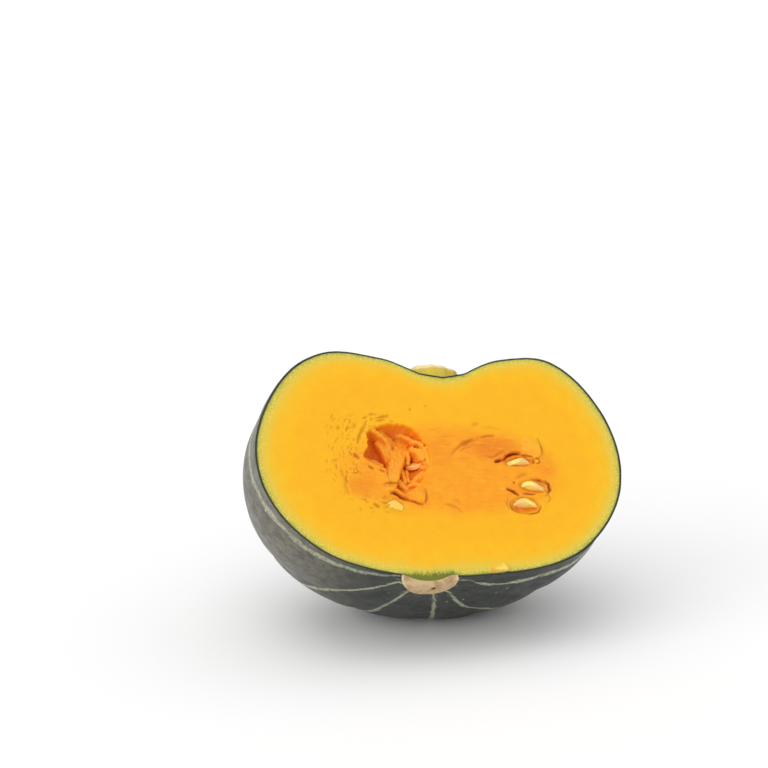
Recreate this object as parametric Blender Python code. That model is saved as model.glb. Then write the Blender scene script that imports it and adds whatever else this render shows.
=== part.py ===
"""Half a buttercup squash, cut from stem end to blossom end, lying on its rind.

The squash is shaped in its own frame first: its axis runs from the stem end (-Z) to the
blossom end (+Z), and -Y is the side that was cut away. The cut plane then gives a second
frame, the cut frame, in which everything on the cut face is placed: U runs across the
face, V up it towards the blossom end, and N out of it. Last, the half is leaned back and
rolled to the way it lies on a table, and a small flat spot is taken off where it touches.
"""

import math

import bmesh
import bpy
from mathutils import Matrix, Vector, noise

MM = 0.001

# Outline of the whole squash: distance from its middle to the rind, by latitude in degrees.
RIND_RADII = [
    (-90, 48 * MM),
    (-75, 49 * MM),
    (-60, 53 * MM),
    (-45, 61 * MM),
    (-25, 75 * MM),
    (0, 89 * MM),
    (25, 91.5 * MM),
    (45, 86.5 * MM),
    (60, 69.5 * MM),
    (69, 55.6 * MM),
    (79, 50.5 * MM),
    (90, 50 * MM),
]
SIDE_SHARE = 0.04  # the squash is this much wider to the left of its axis than to the right
STEM_SHIFT = 16 * MM  # the stem end sits this far left of the axis
STEM_SHIFT_FROM = -25  # latitude at which the rind starts to lean that way

LOBES = 12
LOBE_DEPTH = 1.1 * MM
LOBE_PHASE = math.radians(2)
LUMP_DEPTH = 1.0 * MM
LUMP_SIZE = 45 * MM

AROUND = 92
RINGS = 45

# Corky button left by the flower: (radius, height) of its turned outline over the dimple's
# floor, in millimetres, and how far its middle is to the right and to the front of the axis.
BUTTON_OUTLINE = [
    (0, 10.2),
    (4.5, 9.9),
    (8.6, 11.3),
    (11.3, 12.8),
    (12.8, 11.7),
    (13.7, 8.0),
    (14.7, 3.0),
    (16.0, 0.6),
    (16.4, -4.0),
    (0, -4.0),
]
BUTTON_RIGHT = 1.3 * MM
BUTTON_FORWARD = 3.5 * MM
BUTTON_FRONT_TO_BACK = 0.8
BUTTON_UNEVEN = 1.3 * MM

# The knife went in just in front of the stem's middle and came out further forward.
CUT_BEFORE_STEM = 4 * MM
CUT_SLANT = math.radians(8.9)

# How the half lies.
LEAN_BACK = math.radians(38)
ROLL = math.radians(6.8)
FLAT_SPOT_DEPTH = 2.2 * MM

CLEARANCE = 0.3 * MM
BEYOND = 200 * MM  # reaches past the squash in any direction

# Corky scar where the stem was, a disc let into the rind.
SCAR_RADIUS = 14.3 * MM
SCAR_FRONT_TO_BACK = 0.72  # its depth as a share of its width
SCAR_UNEVEN = 1.1 * MM
SCAR_STANDS_OUT = 0.3 * MM
SCAR_LET_IN = 2.0 * MM
SCAR_RIM = 1.1 * MM
SCAR_RING_RADII = (0.0, 0.22, 0.42, 0.6, 0.75, 0.87)  # rings of its face, as shares of its radius
SWELL = 3.1 * MM  # the flesh swells out in a low dome under it
SWELL_RADIUS = 13.5 * MM

DISC_SIDES = 36
DISC_TURN = math.radians(4)
DISC_LUMPS = 3  # how often the edge of a turned disc goes in and out

# Rim of the hollow torn in the pulp, as (U, V) in millimetres on the cut face.
HOLLOW_RIM = [
    (-41.5, 13.0),
    (-39.8, 8.0),
    (-36.5, 5.0),
    (-32.6, 3.0),
    (-30.8, -1.0),
    (-27.8, -5.0),
    (-23.0, -8.0),
    (-17.2, -9.0),
    (-13.8, -5.0),
    (-12.8, 1.0),
    (-9.8, 7.0),
    (-8.8, 13.5),
    (-11.5, 21.0),
    (-16.5, 26.0),
    (-24.0, 28.6),
    (-31.0, 28.8),
    (-38.0, 25.0),
    (-41.2, 19.0),
]
HOLLOW_MIDDLE = (-24.0, 14.0)
# How the hollow closes in: millimetres out of the cut face, and share of the rim's size.
HOLLOW_WALL = [(3, 1.04), (0, 1.0), (-3.5, 0.97), (-7.5, 0.88), (-11, 0.70), (-13.5, 0.44), (-14.8, 0.18)]
HOLLOW_UNEVEN = 0.9 * MM
HOLLOW_LUMP_SIZE = 4 * MM

# Folds and strands of pulp left in the hollow. Each is a run of (U, V, N, half its width, half
# its depth), in millimetres. The knife then cuts level whatever stands past the cut face.
FOLDS = {
    "tongue": [
        (-30.5, -6.0, -9.0, 3.4, 6.0),
        (-28.6, 0.0, -7.4, 4.0, 8.0),
        (-26.9, 5.6, -7.2, 4.2, 8.0),
        (-24.2, 12.0, -8.4, 4.6, 8.0),
        (-22.6, 18.5, -11.2, 4.6, 7.6),
        (-21.0, 26.0, -15.5, 4.2, 7.0),
    ],
    "upper_left_strand": [
        (-38.5, 28.0, -3.4, 1.4, 1.6),
        (-34.6, 25.6, -3.6, 1.7, 1.8),
        (-31.0, 22.6, -6.4, 2.1, 2.4),
        (-28.0, 19.0, -10.0, 2.4, 3.0),
    ],
    "upper_left_web": [
        (-43.0, 17.0, -5.0, 1.6, 2.2),
        (-38.0, 19.0, -8.0, 2.0, 2.6),
        (-33.0, 20.0, -10.0, 2.4, 3.0),
        (-28.0, 22.0, -13.0, 2.6, 3.0),
    ],
    "top_web": [
        (-24.5, 23.0, -9.0, 2.0, 3.2),
        (-20.0, 23.6, -6.6, 2.0, 3.0),
        (-15.6, 21.8, -4.4, 1.8, 2.6),
        (-10.0, 19.6, -4.0, 1.6, 2.2),
    ],
    "right_lump": [
        (-20.5, 17.4, -9.0, 2.0, 3.0),
        (-16.4, 15.8, -5.4, 3.6, 3.6),
        (-12.4, 14.6, -4.2, 3.6, 3.6),
        (-7.0, 12.8, -5.0, 2.6, 3.0),
    ],
    "left_low_rim": [
        (-42.0, 7.5, -4.0, 1.4, 1.6),
        (-38.0, 6.4, -2.6, 1.5, 1.6),
        (-34.4, 5.0, -3.0, 1.4, 1.6),
        (-29.5, 3.4, -5.0, 1.4, 1.8),
    ],
    "middle_strand": [
        (-24.5, 3.0, -6.0, 1.6, 3.4),
        (-21.0, 5.0, -8.4, 1.5, 3.0),
        (-16.0, 5.2, -10.4, 1.6, 3.0),
        (-10.0, 4.0, -10.0, 2.0, 3.0),
    ],
    "low_fold": [
        (-10.6, 4.2, -4.6, 1.6, 2.2),
        (-14.6, 2.6, -3.0, 1.9, 2.2),
        (-18.6, -0.2, -3.2, 2.1, 2.4),
        (-22.8, -3.2, -3.6, 1.9, 2.2),
        (-29.0, -5.4, -3.6, 1.5, 1.8),
    ],
    "low_film": [
        (-25.0, 1.0, -8.0, 2.2, 4.0),
        (-21.0, 0.6, -9.6, 2.4, 4.0),
        (-16.0, -1.0, -9.6, 2.6, 4.0),
        (-11.0, -3.0, -9.0, 2.6, 4.0),
    ],
}
FOLD_SIDES = 10
FOLD_STEPS = 3  # rings between two stations
FOLD_UNEVEN = 0.16
FOLD_LUMP_SIZE = 2.4 * MM

# Flaps of torn pulp, thin plates standing a little off the face: middle, then corners, as
# (U, V, N) in millimetres.
FLAPS = {
    "foot_of_hollow": [
        (-18.6, -7.4, 0.2),
        (-26.5, -6.2, -2.6),
        (-20.0, -5.6, -1.4),
        (-12.6, -3.6, -0.4),
        (-14.4, -11.6, 0.9),
        (-23.0, -9.6, -0.6),
    ],
    "over_upper_seed": [
        (41.2, 17.6, 2.2),
        (34.8, 14.6, 1.4),
        (36.2, 18.2, 0.9),
        (40.0, 21.6, 0.4),
        (45.2, 23.4, 0.3),
        (46.4, 18.5, 0.6),
        (46.8, 14.2, 0.9),
        (40.8, 12.9, 1.9),
    ],
}
FLAP_THICKNESS = 1.8 * MM

# Seeds: a flat drop with one pointed end.
SEED_LENGTH = 15 * MM
SEED_WIDTH = 9.4 * MM
SEED_THICKNESS = 4.6 * MM
SEED_TIP = 0.34  # how much narrower the pointed end is
# Middle (U, V, N) in millimetres, then turn on the face, lift of the pointed end and roll
# about the seed's own length, in degrees.
SEEDS = {
    "seed_right_upper": ((33.9, 10.7, -3.2), 2, 0, 76),
    "seed_right_middle": ((39.8, -1.9, -3.1), -6, 0, 74),
    "seed_right_lower": ((34.9, -10.3, -3.3), 178, 0, -74),
    "seed_in_hollow": ((-12.6, 9.9, -6.9), 186, 5, 60),
    "seed_left_lower": ((-33.4, -13.2, -2.5), -3, 14, 16),
}
# Open sockets that the pulp leaves round the seeds at the right: middle (U, V) and half
# length, half height and depth, in millimetres, then turn in degrees.
SOCKETS = [
    ((32.2, 11.9), (9.2, 3.2, 4.0), 12),
    ((39.1, -1.7), (9.0, 3.4, 3.0), -6),
    ((35.1, -11.5), (8.3, 4.0, 3.0), 1),
]

COLOURS = {
    "rind": (0.035, 0.055, 0.035),
    "cork": (0.50, 0.38, 0.22),
    "seed": (0.86, 0.66, 0.32),
}
ROUGHNESS = {"rind": 0.45, "cork": 0.85, "seed": 0.4}
SHARP_ANGLE = math.radians(40)


def clear_scene():
    """Removes the objects of the file that the script runs in."""
    for old in list(bpy.data.objects):
        bpy.data.objects.remove(old)


def material(name):
    """A plain material in one of the squash's colours."""
    made = bpy.data.materials.new(name)
    made.use_nodes = True
    shader = made.node_tree.nodes["Principled BSDF"]
    shader.inputs["Base Color"].default_value = (*COLOURS[name], 1.0)
    shader.inputs["Roughness"].default_value = ROUGHNESS[name]
    made.diffuse_color = (*COLOURS[name], 1.0)
    return made


def object_from(name, mesh_data):
    """Links a bmesh as a named object and frees it."""
    mesh = bpy.data.meshes.new(name)
    mesh_data.to_mesh(mesh)
    mesh_data.free()
    made = bpy.data.objects.new(name, mesh)
    bpy.context.scene.collection.objects.link(made)
    return made


def finish(made, coat, place):
    """Gives a piece its material and its smooth shading, and sets it down in its place."""
    made.data.materials.clear()
    made.data.materials.append(coat)
    made.data.shade_smooth()
    made.data.set_sharp_from_angle(angle=SHARP_ANGLE)
    made.matrix_world = place


def smooth_through(knots, at):
    """Value at a place on the smooth curve through (place, value) knots, level at both ends."""
    last = len(knots) - 1
    low = 0
    while low < last - 1 and at > knots[low + 1][0]:
        low += 1

    def slope(i):
        if i in (0, last):
            return 0.0
        return (knots[i + 1][1] - knots[i - 1][1]) / (knots[i + 1][0] - knots[i - 1][0])

    (start, a), (end, b) = knots[low], knots[low + 1]
    span = end - start
    t = (at - start) / span
    return (
        a * (1 + 2 * t) * (1 - t) ** 2
        + b * t * t * (3 - 2 * t)
        + span * t * (1 - t) * (slope(low) * (1 - t) - slope(low + 1) * t)
    )


def stem_swell(across):
    """How far the stem end swells out under its scar, at a distance from the scar's middle."""
    share = max(0.0, 1 - (across / SWELL_RADIUS) ** 2)
    return SWELL * share * share * (3 - 2 * share)


def rind_point(latitude, azimuth):
    """A point of the rind in the squash's frame, by latitude in degrees and azimuth in radians."""
    radius = smooth_through(RIND_RADII, latitude)
    angle = math.radians(latitude)
    across = math.cos(angle)
    furrow = 0.5 + 0.5 * math.cos(LOBES * (azimuth - LOBE_PHASE))
    radius -= LOBE_DEPTH * furrow ** 3 * across
    point = radius * Vector((across * math.cos(azimuth), across * math.sin(azimuth), math.sin(angle)))
    point += LUMP_DEPTH * across * noise.noise(point / LUMP_SIZE) * point.normalized()
    point.x *= 1 - math.copysign(SIDE_SHARE, point.x)
    lean = max(0.0, (STEM_SHIFT_FROM - latitude) / (STEM_SHIFT_FROM + 90))
    point.x -= STEM_SHIFT * lean ** 1.5
    if latitude < STEM_SHIFT_FROM:
        across = math.hypot(point.x + STEM_SHIFT, point.y / SCAR_FRONT_TO_BACK)
        point.z -= stem_swell(across)
    return point


def squash_to_cut_frame():
    """Turns the squash's frame into the cut frame, whose N = 0 is the cut plane."""
    stem = -RIND_RADII[0][1]
    to_stem = Matrix.Translation((0, 0, -stem))
    slant = Matrix.Rotation(-CUT_SLANT, 4, "X")
    axes = Matrix(((1, 0, 0, 0), (0, 0, 1, 0), (0, -1, 0, 0), (0, 0, 0, 1)))
    return Matrix.Translation((0, stem, -CUT_BEFORE_STEM)) @ axes @ slant @ to_stem


def cut_frame_to_lie():
    """Leans and rolls the cut frame to the way the half lies, before it is set down."""
    lean = Matrix.Rotation(math.radians(90) - LEAN_BACK, 4, "X")
    return lean @ Matrix.Rotation(-ROLL, 4, "Z")


def bridge_rings(shape, rings):
    """Joins rings of points into a tube, and closes both of its ends."""
    count = len(rings[0])
    for near, far in zip(rings, rings[1:]):
        for j in range(count):
            k = (j + 1) % count
            shape.faces.new((near[j], near[k], far[k], far[j]))
    shape.faces.new(rings[0])
    shape.faces.new(rings[-1])
    bmesh.ops.recalc_face_normals(shape, faces=shape.faces)


def whole_squash():
    """The whole squash in the cut frame, from rings of points between its two poles."""
    squash = bmesh.new()
    low = squash.verts.new(rind_point(-90, 0))
    high = squash.verts.new(rind_point(90, 0))
    rings = []
    for i in range(1, RINGS):
        latitude = -90 + 180 * i / RINGS
        rings.append(
            [squash.verts.new(rind_point(latitude, math.tau * j / AROUND)) for j in range(AROUND)]
        )
    for j in range(AROUND):
        k = (j + 1) % AROUND
        squash.faces.new((low, rings[0][k], rings[0][j]))
        squash.faces.new((high, rings[-1][j], rings[-1][k]))
        for below, above in zip(rings, rings[1:]):
            squash.faces.new((below[j], below[k], above[k], above[j]))
    squash.transform(squash_to_cut_frame())
    return squash


def block(corner, opposite):
    """A box between two corners, in the cut frame."""
    box = bmesh.new()
    bmesh.ops.create_cube(box, size=1.0)
    middle = (corner + opposite) / 2
    for vert in box.verts:
        vert.co = middle + vert.co * (opposite - corner)
    bmesh.ops.recalc_face_normals(box, faces=box.faces)
    return box


def cut_away():
    """The block that the knife took away, in front of the cut face."""
    return block(Vector((-BEYOND, -BEYOND, 0)), Vector((BEYOND, BEYOND, BEYOND)))


def hollow():
    """The torn hollow as a cutter: its rim carried down into the pulp and closed in."""
    bowl = bmesh.new()
    last = len(HOLLOW_RIM)
    around = 2 * last
    wrapped = HOLLOW_RIM[-2:] + HOLLOW_RIM + HOLLOW_RIM[:2]
    rings = []
    for height, share in HOLLOW_WALL:
        ring = []
        for i in range(around):
            at = 2 + i / 2
            u, v = (smooth_through([(p, wrapped[p][k]) for p in range(last + 4)], at) for k in (0, 1))
            u = HOLLOW_MIDDLE[0] + (u - HOLLOW_MIDDLE[0]) * share
            v = HOLLOW_MIDDLE[1] + (v - HOLLOW_MIDDLE[1]) * share
            point = Vector((u, v, height)) * MM
            outward = (point - Vector((*HOLLOW_MIDDLE, 0)) * MM).normalized()
            point += outward * HOLLOW_UNEVEN * noise.noise(point / HOLLOW_LUMP_SIZE)
            ring.append(bowl.verts.new(point))
        rings.append(ring)
    bridge_rings(bowl, rings)
    return bowl


def fold(stations):
    """A fold of pulp: an uneven oval tube along a smooth curve through its stations."""
    steps = FOLD_STEPS * (len(stations) - 1)
    tube = bmesh.new()
    route = []
    for i in range(steps + 1):
        at = i * (len(stations) - 1) / steps
        route.append(
            [smooth_through([(p, s[k]) for p, s in enumerate(stations)], at) * MM for k in range(5)]
        )
    rings = []
    for i, (u, v, n, wide, deep) in enumerate(route):
        middle = Vector((u, v, n))
        ahead = Vector(route[min(i + 1, steps)][:3]) - Vector(route[max(i - 1, 0)][:3])
        side = ahead.cross(Vector((0, 0, 1))).normalized()
        rise = side.cross(ahead).normalized()
        ring = []
        for j in range(FOLD_SIDES):
            angle = math.tau * (j + 0.5) / FOLD_SIDES
            out = side * wide * math.cos(angle) + rise * deep * math.sin(angle)
            uneven = 1 + FOLD_UNEVEN * noise.noise((middle + out) / FOLD_LUMP_SIZE)
            ring.append(tube.verts.new(middle + out * uneven))
        rings.append(ring)
    bridge_rings(tube, rings)
    return tube


def flap(points):
    """A torn flap of pulp: a thin plate fanned out from its middle to its corners."""
    plate = bmesh.new()
    middle, *corners = [plate.verts.new(Vector(point) * MM) for point in points]
    for near, far in zip(corners, corners[1:] + corners[:1]):
        plate.faces.new((middle, near, far))
    bmesh.ops.recalc_face_normals(plate, faces=plate.faces)
    bmesh.ops.solidify(plate, geom=plate.faces[:], thickness=FLAP_THICKNESS)
    bmesh.ops.recalc_face_normals(plate, faces=plate.faces)
    return plate


def seed(placing, grown):
    """One seed in its place, made bigger all round by grown."""
    middle, turn, lift, roll = placing
    drop = bmesh.new()
    bmesh.ops.create_uvsphere(drop, u_segments=14, v_segments=10, radius=1.0)
    drop.transform(Matrix.Rotation(math.radians(90), 4, "Y"))
    for vert in drop.verts:
        x, y, z = vert.co
        narrow = 1 - SEED_TIP * max(0.0, x) ** 2
        vert.co = Vector(
            (
                x * (SEED_LENGTH / 2 + grown),
                y * (SEED_WIDTH / 2 * narrow + grown),
                z * (SEED_THICKNESS / 2 + grown),
            )
        )
    place = (
        Matrix.Translation(Vector(middle) * MM)
        @ Matrix.Rotation(math.radians(turn), 4, "Z")
        @ Matrix.Rotation(-math.radians(lift), 4, "Y")
        @ Matrix.Rotation(math.radians(roll), 4, "X")
    )
    drop.transform(place)
    return drop


def socket(middle, reach, turn):
    """The open dish that the pulp leaves round a seed, as a cutter."""
    dish = bmesh.new()
    bmesh.ops.create_uvsphere(dish, u_segments=20, v_segments=10, radius=1.0)
    for vert in dish.verts:
        vert.co = vert.co * Vector(reach) * MM
    dish.transform(
        Matrix.Translation(Vector((*middle, 0)) * MM) @ Matrix.Rotation(math.radians(turn), 4, "Z")
    )
    return dish


def turned_disc(outline, middle, front_to_back, uneven):
    """An oval disc with an uneven edge, turned about the squash's axis direction.

    Its outline is (radius, height) points, with heights along +Z of the squash's frame.
    """
    disc = bmesh.new()
    line = [disc.verts.new(middle + Vector((r, 0, h))) for r, h in outline]
    edges = [disc.edges.new(pair) for pair in zip(line, line[1:])]
    bmesh.ops.spin(
        disc,
        geom=line + edges,
        cent=middle,
        axis=(0, 0, 1),
        angle=math.tau,
        steps=DISC_SIDES,
        use_merge=True,
    )
    bmesh.ops.remove_doubles(disc, verts=disc.verts, dist=1e-6)
    bmesh.ops.recalc_face_normals(disc, faces=disc.faces)
    widest = max(r for r, h in outline)
    for vert in disc.verts:
        out = vert.co - middle
        out.z = 0
        if out.length > 0:
            lump = noise.noise(DISC_LUMPS * out.normalized())
            vert.co += uneven * lump * (out.length / widest) * out.normalized()
        vert.co.y = middle.y + front_to_back * (vert.co.y - middle.y)
    turn = Matrix.Rotation(DISC_TURN, 4, "Z")
    disc.transform(Matrix.Translation(middle) @ turn @ Matrix.Translation(-middle))
    disc.transform(squash_to_cut_frame())
    return disc


def scar_middle():
    """Middle of the stem's scar, level with the rind round it."""
    return rind_point(-90, 0) + Vector((0, 0, SWELL))


def scar():
    """The stem's scar: a low dome of cork with a rounded rim."""
    rings = [share * SCAR_RADIUS for share in SCAR_RING_RADII]
    outline = [(r, -SCAR_STANDS_OUT - stem_swell(r)) for r in rings]
    outline += [
        (SCAR_RADIUS - SCAR_RIM * 0.6, -SCAR_STANDS_OUT),
        (SCAR_RADIUS, SCAR_RIM * 0.6 - SCAR_STANDS_OUT),
        (SCAR_RADIUS, SCAR_LET_IN),
    ]
    outline += [(r, SCAR_LET_IN - stem_swell(r)) for r in reversed(rings)]
    return turned_disc(outline, scar_middle(), SCAR_FRONT_TO_BACK, SCAR_UNEVEN)


def scar_seat():
    """The seat that the scar fills, as a cutter."""
    rings = [share * SCAR_RADIUS for share in SCAR_RING_RADII]
    wide = SCAR_RADIUS + CLEARANCE / SCAR_FRONT_TO_BACK
    inner = SCAR_LET_IN + CLEARANCE
    outline = [(0.0, -SCAR_RADIUS), (wide, -SCAR_RADIUS), (wide, inner)]
    outline += [(r, inner - stem_swell(r)) for r in reversed(rings)]
    return turned_disc(outline, scar_middle(), SCAR_FRONT_TO_BACK, SCAR_UNEVEN)


def button():
    """The corky button at the flower end."""
    middle = rind_point(90, 0) + Vector((BUTTON_RIGHT, -BUTTON_FORWARD, 0))
    outline = [(r * MM, h * MM) for r, h in BUTTON_OUTLINE]
    return turned_disc(outline, middle, BUTTON_FRONT_TO_BACK, BUTTON_UNEVEN)


def boolean(made, operation, shapes):
    """Joins shapes to an object, or cuts them from it, with one Boolean on a collection."""
    group = bpy.data.collections.new("shapes")
    for shape in shapes:
        piece = object_from("shape", shape)
        bpy.context.scene.collection.objects.unlink(piece)
        group.objects.link(piece)
    bpy.context.scene.collection.children.link(group)
    joiner = made.modifiers.new(operation.title(), "BOOLEAN")
    joiner.operation = operation
    joiner.operand_type = "COLLECTION"
    joiner.collection = group
    joiner.solver = "EXACT"
    bpy.context.view_layer.update()
    graph = bpy.context.evaluated_depsgraph_get()
    made.data = bpy.data.meshes.new_from_object(made.evaluated_get(graph))
    made.modifiers.clear()
    for piece in list(group.objects):
        bpy.data.objects.remove(piece)
    bpy.data.collections.remove(group)


def main():
    """Builds the half squash and sets it down on the table."""
    clear_scene()
    whole = whole_squash()
    lie = cut_frame_to_lie()
    lying = [lie @ vert.co for vert in whole.verts if vert.co.z < 0]
    table = min(point.z for point in lying) + FLAT_SPOT_DEPTH
    middle = [(min(p[k] for p in lying) + max(p[k] for p in lying)) / 2 for k in (0, 1)]
    place = Matrix.Translation((-middle[0], -middle[1], -table)) @ lie

    below = block(Vector((-BEYOND, -BEYOND, table - BEYOND)), Vector((BEYOND, BEYOND, table)))
    below.transform(lie.inverted())

    squash = object_from("squash_half", whole)
    boolean(squash, "DIFFERENCE", [hollow()])
    boolean(squash, "UNION", [button()] + [fold(stations) for stations in FOLDS.values()])
    boolean(squash, "DIFFERENCE", [cut_away(), below])
    boolean(squash, "DIFFERENCE", [socket(*shape) for shape in SOCKETS])
    boolean(squash, "UNION", [flap(points) for points in FLAPS.values()])
    pockets = [seed(placing, CLEARANCE) for placing in SEEDS.values()]
    boolean(squash, "DIFFERENCE", pockets + [scar_seat()])
    finish(squash, material("rind"), place)

    stem_scar = object_from("stem_scar", scar())
    boolean(stem_scar, "DIFFERENCE", [cut_away()])
    finish(stem_scar, material("cork"), place)

    coat = material("seed")
    for name, placing in SEEDS.items():
        finish(object_from(name, seed(placing, 0.0)), coat, place)


main()
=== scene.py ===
"""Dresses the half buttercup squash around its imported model.

Shapes are made in millimetres in two frames of the squash itself. In the squash frame its axis
runs from the stem end (-Z) to the blossom end (+Z), and -Y is the side that was cut away. In
the cut frame U runs across the cut face, V up it towards the blossom end, and N out of it.
A finished piece is then set down in metres, leaned back and rolled as the half lies.
"""

from __future__ import annotations

import logging
import math
import random
from contextlib import contextmanager
from dataclasses import dataclass, field
from enum import Enum
from typing import Callable, Iterator, Sequence

import bpy
from mathutils import Matrix, Vector, noise


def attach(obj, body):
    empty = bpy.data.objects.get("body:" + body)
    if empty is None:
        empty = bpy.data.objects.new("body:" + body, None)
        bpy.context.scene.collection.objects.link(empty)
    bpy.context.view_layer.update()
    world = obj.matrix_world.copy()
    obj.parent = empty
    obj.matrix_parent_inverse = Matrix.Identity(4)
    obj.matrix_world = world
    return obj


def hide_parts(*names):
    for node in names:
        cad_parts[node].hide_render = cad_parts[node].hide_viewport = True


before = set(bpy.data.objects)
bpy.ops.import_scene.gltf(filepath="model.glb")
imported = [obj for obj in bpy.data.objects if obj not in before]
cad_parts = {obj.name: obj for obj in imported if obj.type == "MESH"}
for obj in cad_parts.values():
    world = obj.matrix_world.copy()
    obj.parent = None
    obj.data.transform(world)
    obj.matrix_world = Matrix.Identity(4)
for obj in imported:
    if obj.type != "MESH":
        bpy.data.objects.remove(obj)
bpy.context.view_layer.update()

LOG = logging.getLogger("squash")
BODY = "root"
MM = 0.001
# Points of a mesh that are nearer together than this, in millimetres, become one.
MERGE = 1e-4
# The height of a fold where it doesn't reach, in millimetres.
FAR_DOWN = -30.0

Pair = tuple[float, float]
Triple = tuple[float, float, float]
Colour = Triple
Knots = Sequence[Pair]
# A few sizes and then the points of a line.
Row = Sequence[object]
# What a finish reads at a point: numbers, and places as tuples, by name.
Stored = dict[str, object]
# A node's inputs by name or by place: a number, a colour, or another node's socket.
Inputs = dict[str | int, object]
Socket = bpy.types.NodeSocket
Thing = bpy.types.Object


class Slot(Enum):
    """The record's material slots."""

    RIND = "rind"
    FLESH = "flesh"
    CORK = "cork"
    SEED = "seed"


def smooth_through(knots: Knots, at: float) -> float:
    """Reads a smooth curve through knots, level at both ends.

    Args:
        knots: (place, value) pairs in rising order of place.
        at: The place to read.

    Returns:
        The curve's value there.
    """
    last = len(knots) - 1
    low = 0
    while low < last - 1 and at > knots[low + 1][0]:
        low += 1

    def slope(i: int) -> float:
        """Slope of the curve at knot i."""
        if i in (0, last):
            return 0.0
        return (knots[i + 1][1] - knots[i - 1][1]) / (knots[i + 1][0] - knots[i - 1][0])

    (start, a), (end, b) = knots[low], knots[low + 1]
    span = end - start
    t = (at - start) / span
    return (
        a * (1 + 2 * t) * (1 - t) ** 2
        + b * t * t * (3 - 2 * t)
        + span * t * (1 - t) * (slope(low) * (1 - t) - slope(low + 1) * t)
    )


def straight_through(knots: Knots, at: float) -> float:
    """Reads straight lines between knots, level beyond them.

    Args:
        knots: (place, value) pairs in rising order of place.
        at: The place to read.

    Returns:
        The value there.
    """
    if at <= knots[0][0]:
        return knots[0][1]
    for (x0, y0), (x1, y1) in zip(knots, knots[1:]):
        if at <= x1:
            return y0 + (y1 - y0) * (at - x0) / (x1 - x0)
    return knots[-1][1]


def ease(low: float, high: float, value: float) -> float:
    """Smooth step from 0 at low to 1 at high."""
    t = min(1.0, max(0.0, (value - low) / (high - low)))
    return t * t * (3 - 2 * t)


def hump(value: float, middle: float, spread: float) -> float:
    """A bell over a value, 1 at its middle."""
    return math.exp(-(((value - middle) / spread) ** 2))


def lumpy(start: float, at: Vector, *lumps: Pair) -> float:
    """A value with lumps on it, each of some (height, size)."""
    for height, size in lumps:
        start += height * noise.noise(at / size)
    return start


def oval(u: float, v: float, middle: Sequence[float], reach: Pair) -> float:
    """Distance from an oval's middle, 1 on its outline."""
    return math.hypot((u - middle[0]) / reach[0], (v - middle[1]) / reach[1])


def latitude_of(height: float) -> float:
    """Latitude in degrees at a height on a ball of radius 1."""
    return math.degrees(math.asin(max(-1.0, min(1.0, height))))


def way_down(height: float) -> float:
    """Share of the way from top to bottom at a height on a ball of radius 1."""
    return math.acos(max(-1.0, min(1.0, height))) / math.pi


def round_from_front(degrees: float) -> float:
    """Takes a bearing of -180 to 180 degrees to the same one of -90 to 270."""
    return degrees + (360 if degrees < -90 else 0)


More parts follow.
